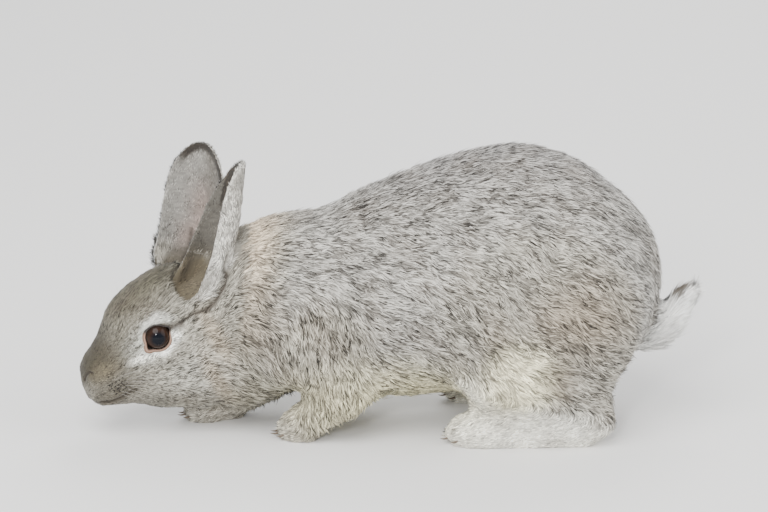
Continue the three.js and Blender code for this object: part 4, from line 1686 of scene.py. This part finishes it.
@dataclass
class Unwrap:
    """A flat layout of the skin: islands of faces that look the same way, packed side by side."""

    skin: Skin
    margin: float = 3.5  # millimetres between islands
    island: Array = field(init=False)
    flat: Array = field(init=False)  # each face's corners on the map
    shift: Array = field(init=False)
    scale: float = field(init=False)

    def build(self) -> None:
        """Finds the islands and packs them."""
        shell = self.skin.shell
        normals = shell.smoothed(shell.normals(), 12)[shell.faces].mean(axis=1)
        axis = np.argmax(np.abs(normals), axis=1)
        side = np.take_along_axis(normals, axis[:, None], axis=1)[:, 0] > 0
        look = axis * 2 + side + 6 * self.skin.node_of[shell.faces[:, 0]]
        self.island = self.connected(look)
        pair = np.array([[1, 2], [0, 2], [0, 1]])[axis]
        corners = shell.corners() / MM
        self.flat = np.take_along_axis(corners, np.repeat(pair[:, None], 3, axis=1), axis=2)
        self.pack()

    def connected(self, look: Array) -> Array:
        """Finds the patches of faces that touch and look the same way.

        Args:
            look: A number for the way that each face looks.

        Returns:
            The number of each face's patch.
        """
        count = len(self.skin.shell.faces)
        keys, owner = self.skin.shell.edge_keys(), np.repeat(np.arange(count), 3)
        order = np.argsort(keys, kind="stable")
        keys, owner = keys[order], owner[order]
        same = np.nonzero(keys[1:] == keys[:-1])[0]
        a, b = owner[same], owner[same + 1]
        keep = look[a] == look[b]
        parent = list(range(count))

        def top(item: int) -> int:
            """The face that stands for an item's patch."""
            while parent[item] != item:
                parent[item] = parent[parent[item]]
                item = parent[item]
            return item

        for first, second in zip(a[keep].tolist(), b[keep].tolist()):
            first, second = top(first), top(second)
            if first != second:
                parent[first] = second
        tops = np.array([top(item) for item in range(count)])
        return np.unique(tops, return_inverse=True)[1]

    def pack(self) -> None:
        """Stands the islands in rows, the tallest first."""
        count = self.island.max() + 1
        low, high = np.full((count, 2), np.inf), np.full((count, 2), -np.inf)
        np.minimum.at(low, self.island, self.flat.min(axis=1))
        np.maximum.at(high, self.island, self.flat.max(axis=1))
        size = high - low + self.margin
        row_width = math.sqrt(float(np.sum(size[:, 0] * size[:, 1]))) * 1.08
        self.shift = np.zeros((count, 2))
        x = y = row = 0.0
        for item in np.argsort(-size[:, 1], kind="stable"):
            if x + size[item, 0] > row_width and x > 0:
                x, y, row = 0.0, y + row, 0.0
            self.shift[item] = np.array([x, y]) + self.margin / 2 - low[item]
            x += size[item, 0]
            row = max(row, size[item, 1])
        self.scale = 1.0 / max(row_width, y + row, float(np.max(size[:, 0])))
        log.info("bake map: %d islands", count)

    def of_faces(self) -> Array:
        """The map's place of each corner of each face."""
        return (self.flat + self.shift[self.island][:, None]) * self.scale

    def write(self, mesh: bpy.types.Mesh, places: Array) -> None:
        """Stores the map on a mesh, one place for each corner of each face."""
        layer = mesh.uv_layers.new(name=BAKE_MAP)
        layer.uv.foreach_set("vector", np.clip(places, 0, 1).astype(np.float32).ravel())


# --- the coat


TUFT_FACES = ((0, 2, 1), (0, 3, 2), (0, 1, 3), (4, 1, 2), (4, 2, 3), (4, 3, 1))
TUFT_SPOTS = ((0, -0.5), (-0.5, 0), (0.5, 0), (0, 0.1), (0, 0.5))  # its points on its patch of the map
TUFT_POINTS = 5
COAT_PARTS = {
    "head": ("face", [Region.HEAD]),
    "ears": ("ear", [Region.EAR]),
    "neck": ("coat", [Region.NECK]),
    "body": ("coat", [Region.TRUNK]),
    "thighs": ("coat", [Region.THIGH]),
    "forelegs": ("coat", [Region.FORELEG, Region.FOREPAW]),
    "hindfeet": ("pale", [Region.HINDFOOT]),
    "tail": ("pale", [Region.TAIL]),
}  # the slot and the regions of each part
GROWN = ("length", "width", "lift", "spread", "fleck", "streak")


@dataclass
class Roots:
    """Where tufts grow, and what the skin says there. Each array has a row for each tuft."""

    points: Array
    normals: Array
    flow: Array
    tone: Array
    length: Array
    width: Array
    lift: Array
    spread: Array
    fleck: Array
    streak: Array
    region: Array
    map_place: Array


@dataclass
class Coat:
    """All the tufts, grown from the skin and kept in pieces of a size that renders and exports well."""

    skin: Skin
    growth: Growth
    unwrap: Unwrap
    seed: int = 7
    sunk: float = 0.35  # how deep a root sits, in millimetres
    guard_share: float = 0.05  # of the tufts that are longer, thinner and looser than the rest
    most: int = 30000  # tufts in a piece
    bend: float = 0.42  # share of its length to where a tuft is widest, and bends
    beyond: float = 0.58  # share of its length from there on
    level: float = 0.3  # share of its lift that is left from there on
    ridge: float = 0.4  # how high its ridge stands, as a share of its width
    clear: float = 0.15  # millimetres that tufts stay off the floor

    def plant(self) -> Roots:
        """Spreads the roots over the skin.

        Returns:
            The roots, in an order that follows the skin's faces.
        """
        rng = np.random.default_rng(self.seed)
        shell, growth = self.skin.shell, self.growth
        area = np.linalg.norm(shell.face_normals(), axis=1) / 2 / MM**2
        total = np.cumsum(area * growth.density[shell.faces].mean(axis=1))
        count = int(total[-1])
        picks = (np.arange(count) + rng.uniform(size=count)) * (total[-1] / count)
        face = np.minimum(np.searchsorted(total, picks), len(total) - 1)
        a, b = rng.uniform(size=(2, count))
        fold = a + b > 1
        a, b = np.where(fold, 1 - a, a), np.where(fold, 1 - b, b)
        shares = np.stack([1 - a - b, a, b], axis=1)[:, :, None]

        def at(values: Array) -> Array:
            """Values of the points, read at the roots."""
            flat = values.reshape(len(shell.points), -1)
            return (flat[shell.faces[face]] * shares).sum(axis=1)

        normals = unit(at(shell.smoothed(shell.normals(), 3)))
        flow = at(growth.flow)
        return Roots(
            points=at(shell.points),
            normals=normals,
            flow=unit(flow - normals * dots(flow, normals)),
            tone=at(growth.tone),
            **{name: at(getattr(growth, name))[:, 0] for name in GROWN},
            region=self.skin.region_of[shell.faces[face, 0]],
            map_place=(self.unwrap.of_faces()[face] * shares).sum(axis=1),
        )

    def grow(self, roots: Roots) -> tuple[Shell, Array, Array, Array]:
        """Grows one tuft from each root: a bent spindle with a ring of three points at its middle.

        Args:
            roots: Where to grow them.

        Returns:
            The tufts as a shell of 5 points and 6 faces each; each point's normal; each point's hair
            values; and each point's place on the bake map.
        """
        count = len(roots.points)
        rng = np.random.default_rng(self.seed + count)
        side = np.cross(roots.normals, roots.flow)
        sway = ripple(roots.points, 9, 3) * 0.7 + ripple(roots.points, 24, 4) * 0.6
        stray = np.radians(roots.spread) * (sway + rng.normal(size=count) * 0.6)
        flow = roots.flow * np.cos(stray)[:, None] + side * np.sin(stray)[:, None]
        side = np.cross(roots.normals, flow)
        guard = rng.uniform(size=count) < self.guard_share
        rise = 1 + 0.22 * rng.normal(size=count) + 0.2 * ripple(roots.points, 7, 5)
        lift = np.radians(roots.lift) * np.clip(rise, 0.35, 1.9) * np.where(guard, 1.35, 1.0)
        reach = np.clip(1 + 0.2 * rng.normal(size=count), 0.5, 1.6)
        length = roots.length * reach * np.where(guard, 1.3, 1.0) * MM
        width = roots.width * rng.uniform(0.75, 1.25, size=count) * np.where(guard, 0.6, 1.0) * MM

        def heading(share: float) -> Array:
            """The way that a tuft points, with a share of its lift."""
            return flow * np.cos(lift * share)[:, None] + roots.normals * np.sin(lift * share)[:, None]

        start = roots.points - roots.normals * self.sunk * MM
        middle = start + heading(1.0) * (length * self.bend)[:, None]
        tip = middle + heading(self.level) * (length * self.beyond)[:, None]
        left = middle - side * (width * 0.5)[:, None]
        right = middle + side * (width * 0.5)[:, None]
        ridge = middle + roots.normals * (width * self.ridge)[:, None]
        points = np.stack([start, left, right, ridge, tip], axis=1)
        points[:, :, 2] = np.maximum(points[:, :, 2], self.clear * MM)
        faces = (np.arange(count)[:, None, None] * TUFT_POINTS + np.array(TUFT_FACES)).reshape(-1, 3)
        lean = np.stack([roots.normals, -side, side, roots.normals, heading(self.level)], axis=1)
        rounding = np.where(roots.region == Region.EAR.value, 0.9, 0.36)[:, None, None]
        normals = unit(roots.normals[:, None] + lean * rounding).reshape(-1, 3)
        heights = np.array([0.0, self.bend, self.bend, self.bend, 1.0])
        # paler coats get less of the painted shade at the roots
        up = heights + 0.35 * np.clip(1 - roots.fleck, 0, 1)[:, None]
        light = 1.15 * rng.normal(size=count) + 0.42 * roots.streak + 0.15 * ripple(roots.points, 15, 9)
        light = light * roots.fleck
        warm = np.clip(0.16 - 0.16 * light + 0.07 * ripple(roots.points, 30, 11), 0, 0.6)
        light, warm = (np.repeat(values[:, None], TUFT_POINTS, 1) for values in (light, warm))
        hair = np.stack([up, light, warm], axis=2)
        places = roots.map_place[:, None] + np.array(TUFT_SPOTS) * TUFT_PATCH
        return Shell(points.reshape(-1, 3), faces), normals, hair.reshape(-1, 3), places.reshape(-1, 2)

    def pieces(self, roots: Roots) -> dict[str, Array]:
        """Shares the tufts out among named pieces, none of them too large.

        Args:
            roots: All the tufts' roots.

        Returns:
            The numbers of each piece's roots, by the piece's name.
        """
        low, high = (np.array(corner) for corner in SOLID_BOUNDS)
        along = (roots.points[:, 0] - low[0]) / (high[0] - low[0])
        made = {}
        for name, (_, regions) in COAT_PARTS.items():
            members = np.nonzero(np.isin(roots.region, [region.value for region in regions]))[0]
            members = members[np.argsort(along[members], kind="stable")]
            parts = max(1, math.ceil(len(members) / self.most))
            for index, chosen in enumerate(np.array_split(members, parts)):
                made[f"coat_{name}" if parts == 1 else f"coat_{name}_{index + 1}"] = chosen
        return made

    def build(self, material: bpy.types.Material) -> None:
        """Grows the whole coat.

        Args:
            material: The coat's finish.
        """
        roots = self.plant()
        for name, chosen in self.pieces(roots).items():
            part = Roots(**{key: value[chosen] for key, value in vars(roots).items()})
            shell, normals, hair, places = self.grow(part)
            piece = shell.piece(name)
            carry(piece.data, "custom_normal", normals)
            carry(piece.data, "hair", hair)
            carry(piece.data, "tone", np.repeat(part.tone, TUFT_POINTS, axis=0))
            self.unwrap.write(piece.data, places[shell.faces.ravel()])
            dress(piece, material, COAT_PARTS[name.split("_")[1]][0])


# --- small things


def ring_points(centre: Array, axes: tuple[Array, Array], radius: float, spokes: int) -> list[Array]:
    """A ring of points round a place, by its two ways across and its size."""
    turns = [2 * np.pi * spoke / spokes for spoke in range(spokes)]
    return [centre + (axes[0] * math.cos(turn) + axes[1] * math.sin(turn)) * radius for turn in turns]


@dataclass
class Claws:
    """The claws, each a curved cone out of its toe."""

    places: list[Claw]
    radius: float = 1.0
    worn: float = 0.85  # share of the solid's claw that it reaches
    rooted: float = 2.0  # how far in the toe it starts
    arch: float = 0.9
    rings: int = 6
    spokes: int = 8

    def build(self) -> bpy.types.Object:
        """Builds all the claws as one piece."""
        shells = [self.one(claw) for claw in self.places]
        return Shell.joined(shells).piece("claws")

    def one(self, claw: Claw) -> Shell:
        """Builds one claw.

        Args:
            claw: Its place.

        Returns:
            The claw.
        """
        axis = unit(claw.tip - claw.base)
        length = float(np.linalg.norm(claw.tip - claw.base)) * self.worn + self.rooted * MM
        start = claw.base - axis * self.rooted * MM
        side = unit(np.cross(axis, [0, 0, -1.0]))
        above = np.cross(side, axis)
        points = []
        for ring in range(self.rings):
            t = ring / self.rings
            centre = start + axis * length * t + above * (self.arch * MM * math.sin(t * np.pi))
            points += ring_points(centre, (side * 0.8, above), self.radius * MM * (1 - t) ** 0.7, self.spokes)
        tip, last = len(points), (self.rings - 1) * self.spokes
        faces = cap_faces(tip + 1, 0, self.spokes, False) + band_faces(self.rings, self.spokes)
        faces += cap_faces(tip, last, self.spokes, True)
        made = np.array(points + [start + axis * length, start])
        made[:, 2] = np.maximum(made[:, 2], 0.1 * MM)
        return Shell(made, np.array(faces)).turned_out(made.mean(axis=0))


@dataclass
class Whiskers:
    """Long bristles on the whisker pads and over the eyes."""

    head: Head
    seed: int = 5
    radius: float = 0.13
    bead: float = 0.62  # radius of the bead at a whisker's root
    coat_depth: float = 0.55  # how far the beads stand off the skin
    start_out: float = 40.0  # how far out the skin is looked for

    def build(self) -> bpy.types.Object:
        """Builds the whiskers of both sides as one piece."""
        rng = np.random.default_rng(self.seed)
        shells = []
        for side in SIDES.values():
            for start in whisker_roots(side):
                back = (start[0] - WHISKER_FIRST[0]) / WHISKER_STEP[0]
                down = (start[2] - WHISKER_FIRST[2]) / -WHISKER_DROP
                length = 22 + back * 5.0 + rng.uniform(-3, 3)
                heading = np.array([0.45 + 0.14 * back, side * 1.0, 0.28 - down * 0.26])
                shells.append(self.bristle(start, heading, length, rng))
            for place in range(3):
                start = np.array([-3 + place * 3, side * 21.5, 11.0])
                heading = np.array([0.2 + place * 0.2, side * 0.8, 0.9])
                shells.append(self.bristle(start, heading, 16 + place * 3, rng))
        return Shell.joined(shells).piece("whiskers")

    def follicles(self, skin: Shell) -> bpy.types.Object:
        """Builds the dark beads that the whiskers grow from, on the skin of the pads.

        Args:
            skin: The skin's shape.

        Returns:
            All the beads as one piece.
        """
        tree = BVHTree.FromPolygons(skin.points.tolist(), skin.faces.tolist())
        bead = np.array([(1, 0, 0), (0, 1, 0), (-1, 0, 0), (0, -1, 0), (0, 0, 1), (0, 0, -1)], float)
        faces = np.array(cap_faces(4, 0, 4, True) + cap_faces(5, 0, 4, False))
        shells = []
        for side in SIDES.values():
            outward = unit(self.head.world_vector(np.array([0, side, 0])))
            for root in whisker_roots(side):
                far = self.head.world(np.array([root[0], side * self.start_out, root[2]]))
                place, normal, _, _ = tree.ray_cast(Vector(far), Vector(-outward))
                if place is None:
                    continue
                up = unit(np.array(normal) + outward * 0.5)
                first = unit(np.cross(up, [0, 0, 1.0]))
                axes = np.stack([first, np.cross(up, first), up])
                centre = np.array(place) + up * self.coat_depth * MM
                size = np.array([self.bead, self.bead, self.bead * 0.6])
                shells.append(Shell(centre + (bead * size) @ axes * MM, faces))
        return Shell.joined(shells).piece("follicles")

    def bristle(self, start: Array, heading: Array, length: float, rng: np.random.Generator) -> Shell:
        """Builds one whisker, which droops and curves back as it goes.

        Args:
            start: Its root, in the head's frame.
            heading: The way that it sets out.
            length: Its length, in millimetres.
            rng: Where its chances come from.

        Returns:
            The whisker.
        """
        steps, spokes = 7, 4
        heading = unit(heading + rng.normal(size=3) * 0.06)
        bend = np.array([0.5, 0.0, -0.35]) * rng.uniform(0.6, 1.2)
        side = unit(np.cross(heading, [0, 0, 1.0]))
        above = np.cross(side, heading)
        points = []
        for step in range(steps):
            t = step / (steps - 1)
            centre = start + heading * length * t + bend * length * 0.28 * t * t
            points += ring_points(centre, (side, above), self.radius * (1.02 - t), spokes)
        faces = band_faces(steps, spokes)
        faces += [(0, 2, 1), (0, 3, 2)]
        end = (steps - 1) * spokes
        faces += [(end, end + 1, end + 2), (end, end + 2, end + 3)]
        return Shell(self.head.world(np.array(points)), np.array(faces))


# --- the studio


@dataclass(frozen=True)
class Lamp:
    """A soft round lamp."""

    place: tuple[float, float, float]
    size: float  # metres across
    power: float  # watts

    def hang(self, name: str, target: Vector) -> None:
        """Hangs the lamp.

        Args:
            name: Its name.
            target: Where it points.
        """
        lamp = bpy.data.lights.new(name, "AREA")
        lamp.shape = "DISK"
        lamp.size = self.size
        lamp.energy = self.power
        piece = bpy.data.objects.new(name, lamp)
        piece.location = self.place
        piece.rotation_euler = (target - Vector(self.place)).to_track_quat("-Z", "Y").to_euler()
        bpy.context.scene.collection.objects.link(piece)


LAMPS = {
    "key": Lamp((-0.5, -1.3, 1.9), 1.8, 62),
    "fill": Lamp((2.0, -0.6, 1.2), 2.4, 33),
    "back": Lamp((0.4, 1.6, 1.5), 1.5, 24),
    "spark": Lamp((-0.3, -1.9, 0.95), 0.3, 22),
}


@dataclass
class Studio:
    """The floor, the lights and the camera."""

    camera_elevation: float = 17.0
    camera_distance: float = 2.4
    frame_width: float = 0.4992  # metres across the picture, at the rabbit
    target: tuple[float, float, float] = (-0.00365, 0.0, 0.1136)
    floor_size: float = 6.0
    sky: Colour = (0.95, 0.97, 1.0)

    def build(self) -> None:
        """Builds the studio."""
        bpy.ops.mesh.primitive_plane_add(size=self.floor_size, location=(0, 0, 0))
        floor = bpy.context.object
        floor.name = "floor"
        floor.data.materials.append(FloorFinish().material())
        for name, lamp in LAMPS.items():
            lamp.hang(name, Vector(self.target))
        world = bpy.data.worlds.new("studio")
        world.use_nodes = True
        colour, strength = world.node_tree.nodes["Background"].inputs[:2]
        colour.default_value = (*self.sky, 1.0)
        strength.default_value = 1.0
        bpy.context.scene.world = world
        self.aim()

    def aim(self) -> None:
        """Sets up the camera."""
        lens = bpy.data.cameras.new("camera")
        lens.sensor_width = 36.0
        lens.lens = lens.sensor_width * self.camera_distance / self.frame_width
        lens.clip_end = 50.0
        camera = bpy.data.objects.new("camera", lens)
        rise = math.radians(self.camera_elevation)
        back = Vector((0.0, -math.cos(rise), math.sin(rise)))
        camera.location = Vector(self.target) + back * self.camera_distance
        camera.rotation_euler = (-back).to_track_quat("-Z", "Y").to_euler()
        bpy.context.scene.collection.objects.link(camera)
        bpy.context.scene.camera = camera


def main() -> None:
    """Builds the rabbit and the studio, and reports each piece."""
    logging.basicConfig(level=logging.INFO, format="%(relativeCreated)6d ms  %(message)s")
    Studio().build()
    head = Head()
    eyes = [Eye(head, side, name) for name, side in SIDES.items()]
    skin = Skin(head, eyes)
    skin.build()
    unwrap = Unwrap(skin)
    unwrap.build()
    fur = FurFinish("coat", fleck=0.9, root_shade=0.6).material()
    under = FurFinish("skin", fleck=0.5, root_shade=0.7).material()
    growth = skin.growth()
    skin.place(growth, unwrap, under)
    Coat(skin, growth, unwrap).build(fur)
    iris = EyeFinish().material()
    lid = LidFinish().material()
    for eye in eyes:
        ball = dress(eye.build_ball(), iris, "eye")
        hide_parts(f"eye_{eye.name}")
        dress(eye.build_lid(), lid, "face")
    horn = HornFinish("claw", linear(124, 110, 94), linear(84, 72, 60), 0.35).material()
    dress(Claws([claw for claws in skin.claws.values() for claw in claws]).build(), horn, "face")
    bristle = HornFinish("whisker", linear(190, 186, 176), linear(120, 114, 104), 0.4).material()
    whiskers = Whiskers(head)
    dress(whiskers.build(), bristle, "face")
    root = HornFinish("follicle", linear(34, 29, 25), linear(22, 19, 16), 0.8).material()
    dress(whiskers.follicles(skin.shell), root, "face")


if __name__ == "__main__":
    main()
